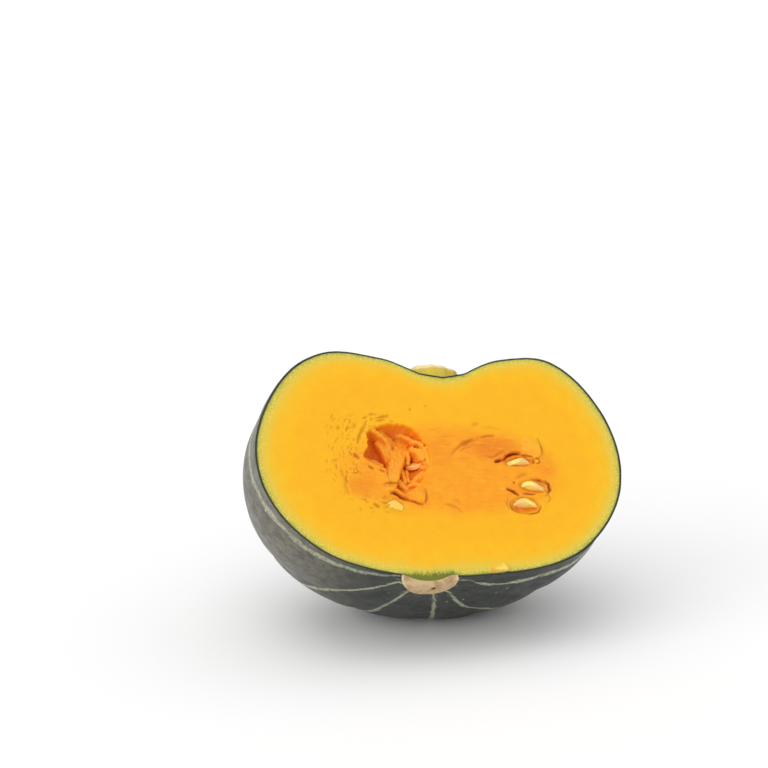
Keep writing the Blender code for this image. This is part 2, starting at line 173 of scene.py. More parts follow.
@dataclass(frozen=True)
class SquashForm:
    """The squash's outer form, with the numbers of the part's solids, in millimetres."""

    radii: Knots = (
        (-90, 48), (-75, 49), (-60, 53), (-45, 61), (-25, 75), (0, 89), (25, 91.5),
        (45, 86.5), (60, 69.5), (69, 55.6), (79, 50.5), (90, 50),
    )
    side_share: float = 0.04
    stem_shift: float = 16.0
    stem_shift_from: float = -25.0
    lobes: int = 12
    lobe_depth: float = 1.1
    lobe_phase: float = math.radians(2)
    lump_depth: float = 1.0
    lump_size: float = 45.0
    cut_before_stem: float = 4.0
    cut_slant: float = math.radians(8.9)
    lean_back: float = math.radians(38)
    roll: float = math.radians(6.8)
    # The cut frame's origin in the row frame.
    origin: Triple = (2.395, -33.726, 77.874)
    # The flesh swells out under the stem's scar.
    swell: float = 3.1
    swell_radius: float = 13.5
    swell_front_to_back: float = 0.72

    def radius(self, latitude: float, azimuth: float) -> float:
        """Distance from the squash's middle to its rind, before lumps and lean."""
        furrow = 0.5 + 0.5 * math.cos(self.lobes * (azimuth - self.lobe_phase))
        depth = self.lobe_depth * furrow ** 3 * math.cos(math.radians(latitude))
        return smooth_through(self.radii, latitude) - depth

    def lean(self, latitude: float) -> float:
        """How far the stem end is shifted to the left at a latitude."""
        share = max(0.0, (self.stem_shift_from - latitude) / (self.stem_shift_from + 90))
        return self.stem_shift * share ** 1.5

    def point(self, latitude: float, azimuth: float) -> Vector:
        """A point of the rind in the squash frame.

        Args:
            latitude: Degrees, -90 at the stem end.
            azimuth: Radians about the axis, 0 to the right.

        Returns:
            The point, in millimetres.
        """
        angle = math.radians(latitude)
        across = math.cos(angle)
        point = self.radius(latitude, azimuth) * Vector(
            (across * math.cos(azimuth), across * math.sin(azimuth), math.sin(angle))
        )
        lump = noise.noise(point / self.lump_size)
        point += self.lump_depth * across * lump * point.normalized()
        point.x *= 1 - math.copysign(self.side_share, point.x)
        point.x -= self.lean(latitude)
        return point + self.stem_swell(point)

    def stem_swell(self, point: Vector) -> Vector:
        """How far the flesh under the stem's scar swells out at a point of the rind."""
        if point.z > 0:
            return Vector((0, 0, 0))
        x = (point.x + self.stem_shift) / self.swell_radius
        y = point.y / (self.swell_radius * self.swell_front_to_back)
        share = max(0.0, 1 - (x * x + y * y))
        return Vector((0, 0, -self.swell * share * share * (3 - 2 * share)))

    def bearings(self, point: Vector) -> Triple:
        """Latitude in degrees, azimuth and distance under the rind of a point inside."""
        x, y, z = point
        reach = math.sqrt(x * x + y * y + z * z) or 1.0
        latitude = latitude_of(z / reach)
        for _ in range(2):
            ax = x + self.lean(latitude)
            ax /= 1 - math.copysign(self.side_share, ax)
            reach = math.sqrt(ax * ax + y * y + z * z) or 1.0
            latitude = latitude_of(z / reach)
        azimuth = math.atan2(y, ax)
        rind = self.radius(latitude, azimuth)
        across = math.cos(math.radians(latitude))
        lump = noise.noise(Vector((ax, y, z)) * (rind / reach / self.lump_size))
        rind += self.lump_depth * across * lump - self.stem_swell(point).z
        return latitude, azimuth, rind - reach

    def to_cut_frame(self) -> Matrix:
        """Turns the squash frame into the cut frame."""
        stem = -self.radii[0][1]
        to_stem = Matrix.Translation((0, 0, -stem))
        slant = Matrix.Rotation(-self.cut_slant, 4, "X")
        axes = Matrix(((1, 0, 0, 0), (0, 0, 1, 0), (0, -1, 0, 0), (0, 0, 0, 1)))
        return Matrix.Translation((0, stem, -self.cut_before_stem)) @ axes @ slant @ to_stem

    def set_down(self) -> Matrix:
        """Takes the cut frame, in millimetres, to the row frame, in metres."""
        lean = Matrix.Rotation(math.radians(90) - self.lean_back, 4, "X")
        lie = lean @ Matrix.Rotation(-self.roll, 4, "Z")
        return Matrix.Scale(MM, 4) @ Matrix.Translation(self.origin) @ lie


FORM = SquashForm()
TO_CUT = FORM.to_cut_frame()
FROM_CUT = TO_CUT.inverted()
SET_DOWN = FORM.set_down()
# Straight up in the cut frame.
UP = (SET_DOWN.inverted().to_3x3() @ Vector((0, 0, 1))).normalized()


def pick(thing: Thing) -> None:
    """Selects one object alone, and makes it active."""
    bpy.ops.object.select_all(action="DESELECT")
    thing.select_set(True)
    bpy.context.view_layer.objects.active = thing


@contextmanager
def editing(thing: Thing) -> Iterator[None]:
    """Opens an object in edit mode with all of its mesh selected."""
    pick(thing)
    bpy.ops.object.mode_set(mode="EDIT")
    bpy.ops.mesh.select_all(action="SELECT")
    yield
    bpy.ops.object.mode_set(mode="OBJECT")


def primitive(name: str, add: Callable[..., object], **sizes: float) -> Thing:
    """Adds a primitive to be shaped, and names it."""
    bpy.ops.object.select_all(action="DESELECT")
    add(**sizes)
    thing = bpy.context.active_object
    thing.name = name
    return thing


def shaped_ball(name: str, around: int, rings: int, place: Callable[[Vector], Vector]) -> Thing:
    """A closed body made from a ball.

    Args:
        name: The object's name.
        around: Points round the ball.
        rings: Rings from pole to pole.
        place: Gives each point's new place from the one on a ball of radius 1.

    Returns:
        The object.
    """
    add = bpy.ops.mesh.primitive_uv_sphere_add
    return shaped(primitive(name, add, segments=around, ring_count=rings, radius=1.0), place)


def shaped(thing: Thing, place: Callable[[Vector], Vector]) -> Thing:
    """Moves every point of a mesh.

    Args:
        thing: The object to shape.
        place: Gives each point's new place from its old one.

    Returns:
        The same object.
    """
    for vert in thing.data.vertices:
        vert.co = place(vert.co.copy())
    thing.data.update()
    return thing


def carve(thing: Thing, tool: Thing, keep: bool = False) -> None:
    """Cuts a tool out of an object.

    Args:
        thing: The object to cut.
        tool: What is cut out of it.
        keep: Whether the tool stays afterwards.
    """
    pick(thing)
    cut = thing.modifiers.new("cut", "BOOLEAN")
    cut.operation, cut.object, cut.solver = "DIFFERENCE", tool, "MANIFOLD"
    bpy.ops.object.modifier_apply(modifier=cut.name)
    if not keep:
        bpy.data.objects.remove(tool)


def closed_in(thing: Thing) -> Thing:
    """Merges doubles and turns all faces outwards."""
    with editing(thing):
        bpy.ops.mesh.remove_doubles(threshold=MERGE)
        bpy.ops.mesh.normals_make_consistent(inside=False)
    return thing


def store(thing: Thing, read: Callable[[Vector], Stored]) -> None:
    """Stores at each point of a mesh what its finish reads.

    Args:
        thing: The object that keeps it.
        read: Gives a point's numbers, and its places as tuples, by name.
    """
    rows = [read(vert.co.copy()) for vert in thing.data.vertices]
    for name, first in rows[0].items():
        values = [row[name] for row in rows]
        if isinstance(first, tuple):
            made = thing.data.attributes.new(name, "FLOAT_VECTOR", "POINT")
            made.data.foreach_set("vector", [part for value in values for part in value])
        else:
            made = thing.data.attributes.new(name, "FLOAT", "POINT")
            made.data.foreach_set("value", values)


def hand_over(
    piece: Thing, coat: bpy.types.Material, slot: Slot, *nodes: str, sharp: float = 40.0
) -> None:
    """Sets a piece down in the row frame, coats it and hands it to the frame.

    Args:
        piece: The piece, in the cut frame and in millimetres.
        coat: Its material.
        slot: The record's slot that the finish stands for; not used.
        nodes: CAD nodes that the piece stands for.
        sharp: Edges sharper than this many degrees stay sharp.
    """
    piece.data.transform(SET_DOWN)
    piece.data.materials.clear()
    piece.data.materials.append(coat)
    pick(piece)
    bpy.ops.object.shade_smooth_by_angle(angle=math.radians(sharp))
    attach(piece, BODY)
    if nodes:
        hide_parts(*nodes)
    LOG.info("%s: %d faces", piece.name, len(piece.data.polygons))


def linear(colour: Colour) -> tuple[float, float, float, float]:
    """A display colour, 0 to 255, as the shader's linear colour."""
    parts = [c / 255 for c in colour]
    low = [c / 12.92 if c <= 0.04045 else ((c + 0.055) / 1.055) ** 2.4 for c in parts]
    return (low[0], low[1], low[2], 1.0)


class Wiring:
    """The nodes of one material, added as a finish asks for them."""

    def __init__(self, name: str) -> None:
        """Makes the material with its shader.

        Args:
            name: The material's name.
        """
        self.material = bpy.data.materials.new(name)
        self.material.use_nodes = True
        self.tree = self.material.node_tree
        self.shader = self.tree.nodes["Principled BSDF"]

    def feed(self, node: bpy.types.Node, inputs: Inputs) -> None:
        """Sets a node's sockets, or links those that are given another socket."""
        for key, value in inputs.items():
            if isinstance(value, Socket):
                self.tree.links.new(value, node.inputs[key])
            else:
                node.inputs[key].default_value = value

    def add(self, kind: str, output: str | int, inputs: Inputs, **settings: str) -> Socket:
        """Adds a node.

        Args:
            kind: The node's type.
            output: Which of its outputs is asked for.
            inputs: What its inputs are set to or linked to.
            settings: Its own settings.

        Returns:
            The output's socket.
        """
        made = self.tree.nodes.new(kind)
        for key, value in settings.items():
            setattr(made, key, value)
        self.feed(made, inputs)
        return made.outputs[output]

    def place(self, name: str) -> Socket:
        """A stored place of the mesh."""
        return self.add("ShaderNodeAttribute", "Vector", {}, attribute_name=name)

    def number(self, name: str) -> Socket:
        """A stored number of the mesh."""
        return self.add("ShaderNodeAttribute", "Fac", {}, attribute_name=name)

    def rightwards(self, place: Socket) -> Socket:
        """A place's first part."""
        return self.add("ShaderNodeSeparateXYZ", "X", {0: place})

    def stretched(self, place: Socket, scale: Triple, turn: float = 0.0) -> Socket:
        """A place scaled along its axes and turned about its third."""
        inputs = {"Vector": place, "Scale": scale, "Rotation": (0, 0, math.radians(turn))}
        return self.add("ShaderNodeMapping", "Vector", inputs)

    def cloud(
        self, place: Socket, size: float, detail: float = 3, rough: float = 0.55, bend: float = 0
    ) -> Socket:
        """Noise with lumps of about a size, in the place's own units."""
        inputs = {"Vector": place, "Scale": 1.0 / size, "Detail": detail}
        inputs |= {"Roughness": rough, "Distortion": bend}
        return self.add("ShaderNodeTexNoise", "Fac", inputs)

    def from_dots(self, place: Socket, size: float) -> Socket:
        """Distance from dots that are scattered about a size apart."""
        return self.add("ShaderNodeTexVoronoi", "Distance", {"Vector": place, "Scale": 1.0 / size})

    def sums(self, kind: str, first: object, second: object) -> Socket:
        """One step of arithmetic."""
        return self.add("ShaderNodeMath", 0, {0: first, 1: second}, operation=kind)

    def times(self, first: object, second: object) -> Socket:
        """One value times another."""
        return self.sums("MULTIPLY", first, second)

    def swing(self, cloud: Socket, reach: float) -> Socket:
        """Noise that swings about 0."""
        return self.times(self.sums("SUBTRACT", cloud, 0.5), reach)

    def step(
        self, value: object, low: float, high: float, start: float = 0.0, end: float = 1.0
    ) -> Socket:
        """Runs a value smoothly from start, at low, to end, at high."""
        inputs = {"Value": value, "From Min": low, "From Max": high, "To Min": start}
        inputs["To Max"] = end
        return self.add("ShaderNodeMapRange", "Result", inputs, interpolation_type="SMOOTHSTEP")

    def ramp(self, value: object, stops: Sequence[tuple[float, Colour]]) -> Socket:
        """A run of display colours over a value from 0 to 1."""
        made = self.add("ShaderNodeValToRGB", "Color", {"Fac": value})
        elements = made.node.color_ramp.elements
        for at, _ in stops[:-2]:
            elements.new(at)
        for element, (at, colour) in zip(elements, stops):
            element.position = at
            element.color = linear(colour)
        return made

    def over(self, share: object, under: object, top: object) -> Socket:
        """One colour laid over another by a share."""
        under, top = (linear(c) if isinstance(c, tuple) else c for c in (under, top))
        return self.add("ShaderNodeMix", 2, {0: share, 6: under, 7: top}, data_type="RGBA")

    def layers(self, colour: object, *tops: tuple[object, object]) -> Socket:
        """Colours laid over the first in turn, each by its own share."""
        for share, top in tops:
            colour = self.over(share, colour, top)
        return colour

    def relief(self, *bumps: tuple[object, float]) -> Socket:
        """Relief of some heights, each with its depth in millimetres, one on another."""
        under: Inputs = {}
        for height, depth in bumps:
            inputs = {"Height": height, "Distance": depth * MM} | under
            under = {"Normal": self.add("ShaderNodeBump", "Normal", inputs)}
        return under["Normal"]

    def dress(
        self, colour: object, rough: object, more: Inputs, soak: Triple | None = None
    ) -> bpy.types.Material:
        """Feeds the shader.

        Args:
            colour: What the surface shows.
            rough: Its roughness.
            more: Other inputs by their names.
            soak: How far light soaks in, in millimetres for red, green and blue.

        Returns:
            The material.
        """
        self.feed(self.shader, {"Base Color": colour, "Roughness": rough} | more)
        if soak:
            self.feed(self.shader, {"Subsurface Radius": soak, "Subsurface Scale": MM})
        return self.material


@dataclass(frozen=True)
class RindFinish:
    """Dark green skin with a bloom of wax and pale ragged stripes, painted sheen on its left side,
    and its green edge at the cut.
    """

    dark: Colour = (40, 46, 38)
    deep: Colour = (28, 33, 29)
    bloom: Colour = (72, 78, 68)
    stripe: Colour = (176, 180, 150)
    speck: Colour = (190, 190, 172)
    edge: Colour = (22, 26, 0)
    inner_edge: Colour = (128, 134, 40)
    # Painted sheen: the next two colours lighten the left side.
    waxy_sheen: Colour = (116, 112, 98)
    brown: Colour = (84, 74, 66)
    # Painted sheen: the left flank is painted lighter, browner and greyer, in patches, from the
    # first X to the second.
    flank: Pair = (-30, -86)
    ragged: float = 4.2

    def material(self) -> bpy.types.Material:
        """The rind's material."""
        w = Wiring("rind_skin")
        at, around, skin = w.place("squash_mm"), w.place("around_mm"), w.number("skin_mm")
        bloom = w.step(w.cloud(at, 3.2, 5, 0.7), 0.52, 0.78, 0, 0.45)
        # Painted sheen on the left side, running in by X.
        side = w.step(w.rightwards(at), *self.flank, 0, 0.85)
        wax = w.step(w.cloud(w.stretched(at, (1, 1, 0.6)), 3.4, 6, 0.75), 0.36, 0.62, 0.2, 1.0)
        ragged = w.swing(w.cloud(w.stretched(around, (1, 0.32, 1)), 2.6, 4, 0.65), self.ragged)
        gap = w.sums("ADD", w.number("stripe_gap_mm"), ragged)
        share = w.sums("DIVIDE", gap, w.number("stripe_half_mm"))
        stripe = w.times(w.step(share, 1.25, 0.55), w.number("stripe_strength"))
        stripe = w.times(stripe, w.step(w.cloud(around, 1.7, 3, 0.6), 0.32, 0.6, 0.3, 1.0))
        streak = w.step(w.cloud(w.place("streak"), 1.0, 3, 0.6), 0.6, 0.72)
        dot = w.step(w.from_dots(w.stretched(at, (1, 0.8, 1)), 6.0), 0.11, 0.05)
        dot = w.times(dot, w.step(w.cloud(at, 17, 2), 0.44, 0.54))
        scuff = w.cloud(w.stretched(at, (0.9, 0.5, 0.16), 20), 1.5, 3, 0.6)
        scuff = w.times(w.step(scuff, 0.68, 0.76), w.step(w.cloud(at, 12, 2), 0.5, 0.6))
        colour = w.layers(
            w.over(w.step(w.cloud(at, 16, 4), 0.38, 0.62), self.deep, self.dark),
            (bloom, self.bloom),
            # Painted sheen: the left side lighter, browner and greyer.
            (w.times(side, 0.6), self.brown),
            (w.times(side, wax), self.waxy_sheen),
            (stripe, self.stripe),
            (w.times(streak, w.number("stem_streaks")), self.stripe),
            (w.times(dot, 0.75), self.speck),
            (w.times(scuff, 0.5), self.speck),
        )
        edge = w.over(w.step(skin, 0.75, 1.25), self.edge, self.inner_edge)
        colour = w.over(w.step(skin, 0.10, 0.22), colour, edge)
        relief = w.relief(
            (w.cloud(at, 1.1, 4, 0.6), 0.05), (w.cloud(at, 5.0, 3), 0.28), (stripe, 0.10)
        )
        rough = w.step(w.cloud(at, 6, 3), 0.3, 0.7, 0.40, 0.56)
        coat = {"Coat Weight": 0.12, "Coat Roughness": 0.35}
        return w.dress(colour, rough, {"Normal": relief} | coat)


@dataclass(frozen=True)
class FleshFinish:
    """Moist yellow-orange flesh, green under the rind and deep orange in the torn pulp, with
    painted shade in the grooves and deep in the hollow, and painted highlight on crests.
    """

    # Colours from the rind inwards, by share of the reach in millimetres.
    bands: tuple[tuple[float, Colour], ...] = (
        (0.0, (112, 118, 34)), (0.045, (162, 158, 58)), (0.11, (202, 188, 80)),
        (0.22, (226, 192, 62)), (0.42, (240, 189, 30)), (0.70, (246, 186, 12)),
        (1.0, (245, 181, 12)),
    )
    band_reach: float = 20.0
    mottle: Colour = (244, 174, 14)
    pulp: Colour = (244, 154, 20)
    warm: Colour = (232, 130, 18)
    string: Colour = (254, 186, 48)
    # Painted shade in the beds of creases, slits and pits: lighter in the firm flesh, brown in the
    # pulp, dark red where deepest.
    faint_shade: Colour = (212, 144, 4)
    crease: Colour = (148, 54, 0)
    brown: Colour = (208, 108, 16)
    torn: Colour = (234, 122, 24)
    # Painted shade: darker the deeper the hollow goes.
    deep: Colour = (220, 104, 22)
    # Painted highlight on the crests of folds in the hollow.
    crown: Colour = (250, 170, 40)
    # Painted highlight on the flap, the bulb at its foot and the flake by the rim.
    chip: Colour = (255, 208, 104)
    speck: Colour = (240, 228, 108)
    # How far light soaks in, in millimetres for red, green and blue.
    soak: Triple = (2.4, 1.1, 0.35)

    def material(self) -> bpy.types.Material:
        """The flesh's material."""
        w = Wiring("moist_flesh")
        at, skin, green = w.place("cut_mm"), w.number("skin_mm"), w.number("greener")
        pulp, depth, stain = w.number("pulp"), w.number("depth_mm"), w.number("crease")
        grain = w.cloud(at, 0.9, 3, 0.7)
        wander = w.sums("ADD", w.swing(grain, 3.0), w.swing(w.cloud(at, 14, 3), 3.5))
        reach = w.sums("ADD", skin, w.times(wander, w.step(skin, 0.0, 2.5)))
        uprights = w.cloud(w.stretched(at, (1, 0.25, 1)), 1.5, 3, 0.6)
        push = w.times(green, w.step(uprights, 0.3, 0.7, 2.6, 6.0))
        reach = w.sums("SUBTRACT", reach, push)
        near = w.times(w.step(skin, 7.5, 2.0), w.step(skin, 0.6, 1.4))
        near = w.times(near, w.step(green, 0.5, 0.1))
        speck = w.times(w.step(w.from_dots(at, 0.85), 0.42, 0.22), near)
        mottle = w.step(w.cloud(at, 6.5, 4, 0.6), 0.35, 0.7, 0, 0.55)
        patchy = w.step(w.cloud(at, 5.0, 4, 0.6), 0.3, 0.65, 0.6, 1.0)
        strings = w.cloud(w.stretched(at, (0.16, 1.0, 1.0), -6), 1.5, 4, 0.65, 0.6)
        stringy = w.step(pulp, 0.1, 0.8, 0, 0.5)
        colour = w.layers(
            w.ramp(w.sums("DIVIDE", reach, self.band_reach), self.bands),
            (w.times(speck, 0.7), self.speck),
            (w.times(mottle, w.step(skin, 4.0, 12.0)), self.mottle),
            (w.times(pulp, patchy), self.pulp),
            (w.times(w.number("warm"), w.step(grain, 0.3, 0.7, 0.65, 1.0)), self.warm),
            (w.times(w.step(strings, 0.54, 0.72), stringy), self.string),
            (w.times(w.step(strings, 0.46, 0.28), stringy), self.warm),
            (w.step(depth, 0.5, 2.4, 0, 0.85), self.torn),
            # Painted shade: darker the deeper the hollow goes.
            (w.step(depth, 4.0, 10.0, 0, 0.8), self.deep),
            # Painted highlight on fold crests.
            (w.times(w.number("crown"), w.step(grain, 0.25, 0.6, 0.55, 0.85)), self.crown),
            # Painted highlight on the raised bits.
            (w.times(w.number("chip"), 0.7), self.chip),
            # Painted shade in the beds of creases, slits and pits.
            (w.step(stain, 0.0, 0.42, 0, 0.8), w.over(pulp, self.faint_shade, self.brown)),
            (w.step(stain, 0.38, 0.95), self.crease),
        )
        relief = w.relief(
            (grain, 0.12), (w.cloud(at, 0.35, 2, 0.6), 0.04), (w.times(strings, pulp), 0.22)
        )
        rough = w.step(w.cloud(at, 3.0, 3), 0.3, 0.7, 0.42, 0.58)
        more = {"Normal": relief, "Specular IOR Level": 0.28, "Subsurface Weight": 0.30}
        return w.dress(colour, rough, more, self.soak)


@dataclass(frozen=True)
class SeedFinish:
    """A cream seed coat with a paler rim, wet with juice and partly under a film of pulp."""

    coat: Colour = (244, 212, 96)
    warm: Colour = (238, 198, 76)
    rim: Colour = (252, 226, 124)
    pink: Colour = (248, 198, 120)
    pulp: Colour = (253, 200, 74)
    film: float = 0.0
    soak: Triple = (1.6, 1.0, 0.6)

    def material(self, name: str) -> bpy.types.Material:
        """A seed's material.

        Args:
            name: The material's name.

        Returns:
            The material.
        """
        w = Wiring(name)
        at = w.place("seed_mm")
        streaks = w.cloud(w.stretched(at, (0.2, 1, 1)), 0.8, 3, 0.6)
        side = w.sums("ADD", w.rightwards(at), w.swing(w.cloud(at, 2.4, 3), 6.0))
        colour = w.layers(
            w.over(w.step(streaks, 0.35, 0.7), self.coat, self.warm),
            (w.number("rim"), self.rim),
            (w.times(w.step(side, -1.2, 1.4), 0.8), self.pink),
            (self.film, self.pulp),
        )
        more = {"Normal": w.relief((streaks, 0.22)), "Specular IOR Level": 0.35}
        more |= {"Coat Weight": 0.12, "Coat Roughness": 0.25, "Subsurface Weight": 0.2}
        return w.dress(colour, 0.40, more, self.soak)


@dataclass(frozen=True)
class CorkFinish:
    """The stem's scar: dry pale cork, cracked and flecked, with a dark dot."""

    pale: Colour = (200, 172, 130)
    tan: Colour = (170, 138, 96)
    crack: Colour = (120, 86, 52)
    rim: Colour = (220, 202, 158)
    dot: Colour = (84, 58, 24)

    def material(self) -> bpy.types.Material:
        """The cork's material."""
        w = Wiring("stem_cork")
        at = w.place("squash_mm")
        colour = w.layers(
            w.over(w.step(w.cloud(at, 4.0, 4, 0.6), 0.4, 0.65), self.pale, self.tan),
            (w.step(w.cloud(at, 1.3, 4, 0.7), 0.60, 0.72, 0, 0.7), self.crack),
            (w.times(w.number("rim"), 0.8), self.rim),
            (w.number("stain"), self.dot),
        )
        return w.dress(colour, 0.82, {"Normal": w.relief((w.cloud(at, 0.8, 4, 0.65), 0.18))})


@dataclass(frozen=True)
class ButtonFinish:
    """The flower button: pale side, whitish crest and a brown dish."""

    side: Colour = (216, 190, 56)
    fleck: Colour = (206, 170, 100)
    crest: Colour = (240, 220, 160)
    dish: Colour = (150, 116, 70)
    base: Colour = (104, 104, 60)

    def material(self) -> bpy.types.Material:
        """The button's material."""
        w = Wiring("button_cork")
        fleck = w.cloud(w.place("squash_mm"), 1.2, 4, 0.65)
        colour = w.layers(
            w.over(w.step(fleck, 0.45, 0.75), self.side, self.fleck),
            (w.number("base"), self.base),
            (w.number("dish"), self.dish),
            (w.number("crest"), self.crest),
        )
        return w.dress(colour, 0.75, {"Normal": w.relief((fleck, 0.25))})


def along(line: Sequence[Sequence[float]], u: float, v: float) -> Triple:
    """Finds the nearest place of a line on the cut face.

    Args:
        line: Points that start with (U, V).
        u: Across the face.
        v: Up the face.

    Returns:
        The signed gap, the count of points passed there, and the gap without its sign.
    """
    best, side, at = math.inf, 1.0, 0.0
    for i, (here, there) in enumerate(zip(line, line[1:])):
        du, dv = there[0] - here[0], there[1] - here[1]
        t = ((u - here[0]) * du + (v - here[1]) * dv) / (du * du + dv * dv)
        t = min(1.0, max(0.0, t))
        gap = math.hypot(u - here[0] - t * du, v - here[1] - t * dv)
        if gap < best:
            best, at = gap, i + t
            side = math.copysign(1.0, du * (v - here[1]) - dv * (u - here[0]))
    return best * side, at, best


class Bounded:
    """A form on the cut face that does nothing outside a box."""

    box: tuple[float, ...]

    def bound(self, line: Sequence[Sequence[float]], reach: float) -> None:
        """Keeps the box round a line, with a margin: low and high U, low and high V."""
        us, vs = [point[0] for point in line], [point[1] for point in line]
        self.box = min(us) - reach, max(us) + reach, min(vs) - reach, max(vs) + reach

    def misses(self, u: float, v: float) -> bool:
        """Whether a place lies outside the box."""
        low_u, high_u, low_v, high_v = self.box
        return not (low_u < u < high_u and low_v < v < high_v)


@dataclass
class Groove(Bounded):
    """A groove, slit or pit along a line on the cut face, with painted shade in its bed."""

    half_width: float
    depth: float
    lip: float
    # How dark the painted shade in the groove's bed is.
    stain: float
    line: Sequence[Pair]
    # The lip's place and spread, and how far the line wanders, all in half widths.
    lip_at: float = 1.9
    lip_spread: float = 1.1
    wander: float = 0.5
    wander_size: float = 1.7

    def __post_init__(self) -> None:
        """Keeps the box outside which the groove does nothing."""
        self.bound(self.line, 4 * self.half_width)

    def read(self, u: float, v: float) -> Pair:
        """What the groove adds to the face's height, and how much painted shade lies in its bed,
        from 0 to 1.
        """
        if self.misses(u, v):
            return 0.0, 0.0
        gap, at, _ = along(self.line, u, v)
        share = at / (len(self.line) - 1)
        taper = (4 * share * (1 - share)) ** 0.4 if 0 < share < 1 else 0.0
        wander = self.wander * self.half_width, self.wander_size
        share = lumpy(gap, Vector((u, v, 9)), wander) / self.half_width
        bed = math.exp(-share * share)
        away = (share - self.lip_at) / self.lip_spread
        rise = self.lip * math.exp(-away * away) - self.depth * bed
        return taper * rise, taper * bed * self.stain


@dataclass
class Fold(Bounded):
    """A fold, strand or lump of pulp, with a crest line of (U, V, N, half width)."""

    flat: float
    ragged: float
    crest: Sequence[tuple[float, float, float, float]]
    # How far the side falls in a half width's reach, and how square its shoulder is.
    fall: float = 0.75
    shoulder: float = 2.6
    ragged_size: float = 1.3
    # Painted highlight on a crest reaches out to these half widths, and this far under the face.
    colours: Pair = (0.5, 1.15)
    buried: float = 1.2

    def __post_init__(self) -> None:
        """Keeps the box outside which the fold does nothing."""
        self.bound(self.crest, 3.2 * max(point[3] for point in self.crest))

    def nearest(self, u: float, v: float) -> Triple:
        """Distance from the crest, and the crest's height and half width there."""
        _, at, gap = along(self.crest, u, v)
        i = min(int(at), len(self.crest) - 2)
        here, there = self.crest[i], self.crest[i + 1]
        high, half = (here[k] + (at - i) * (there[k] - here[k]) for k in (2, 3))
        return gap, high, half

    def height(self, u: float, v: float) -> float:
        """The fold's own height, far down where it doesn't reach."""
        if self.misses(u, v):
            return FAR_DOWN
        gap, high, half = self.nearest(u, v)
        gap = lumpy(gap, Vector((u, v, 3 * high)), (self.ragged * half, self.ragged_size))
        share = max(0.0, gap / half - self.flat) / (1 - self.flat)
        return high - self.fall * half * share ** self.shoulder

    def crown(self, u: float, v: float, face: float) -> float:
        """1 on the fold's crest where it is the face there, where painted highlight goes, 0 off
        it.
        """
        over_it = self.height(u, v) - face
        if over_it < -self.buried:
            return 0.0
        gap, _, half = self.nearest(u, v)
        return (1 - ease(*self.colours, gap / half)) * ease(-self.buried, -0.4, over_it)


@dataclass
class Dish:
    """The open socket round a seed."""

    middle: Pair
    half: Pair
    depth: float
    turn: float
    rim: float = 0.14
    # The rim's place and spread, and the bowl's edge and steepness, in half widths.
    rim_at: float = 1.12
    rim_spread: float = 0.09
    edge: float = 1.04
    steep: float = 2.4
    lumps: Pair = (0.09, 1.9)

    def height(self, u: float, v: float) -> float:
        """What the socket adds to the face's height."""
        du, dv = u - self.middle[0], v - self.middle[1]
        if abs(du) > 1.6 * self.half[0] or abs(dv) > 2.6 * self.half[1]:
            return 0.0
        cos, sin = math.cos(math.radians(self.turn)), math.sin(math.radians(self.turn))
        x, y = du * cos + dv * sin, dv * cos - du * sin
        reach = (abs(x / self.half[0]) ** 2.4 + abs(y / self.half[1]) ** 2.2) ** 0.45
        reach = lumpy(reach, Vector((u, v, 5)), self.lumps)
        bowl = max(0.0, 1 - max(0.0, reach / self.edge) ** self.steep)
        return self.rim * hump(reach, self.rim_at, self.rim_spread) - self.depth * bowl


def folds(*rows: Row) -> list[Fold]:
    """Folds from rows of how flat and how ragged each is, then its crest's points."""
    return [Fold(*row[:2], row[2:]) for row in rows]


def grooves(*rows: Row) -> list[Groove]:
    """Grooves from rows of half width, depth, lip and painted shade, then the line's points."""
    return [Groove(*row[:4], row[4:]) for row in rows]


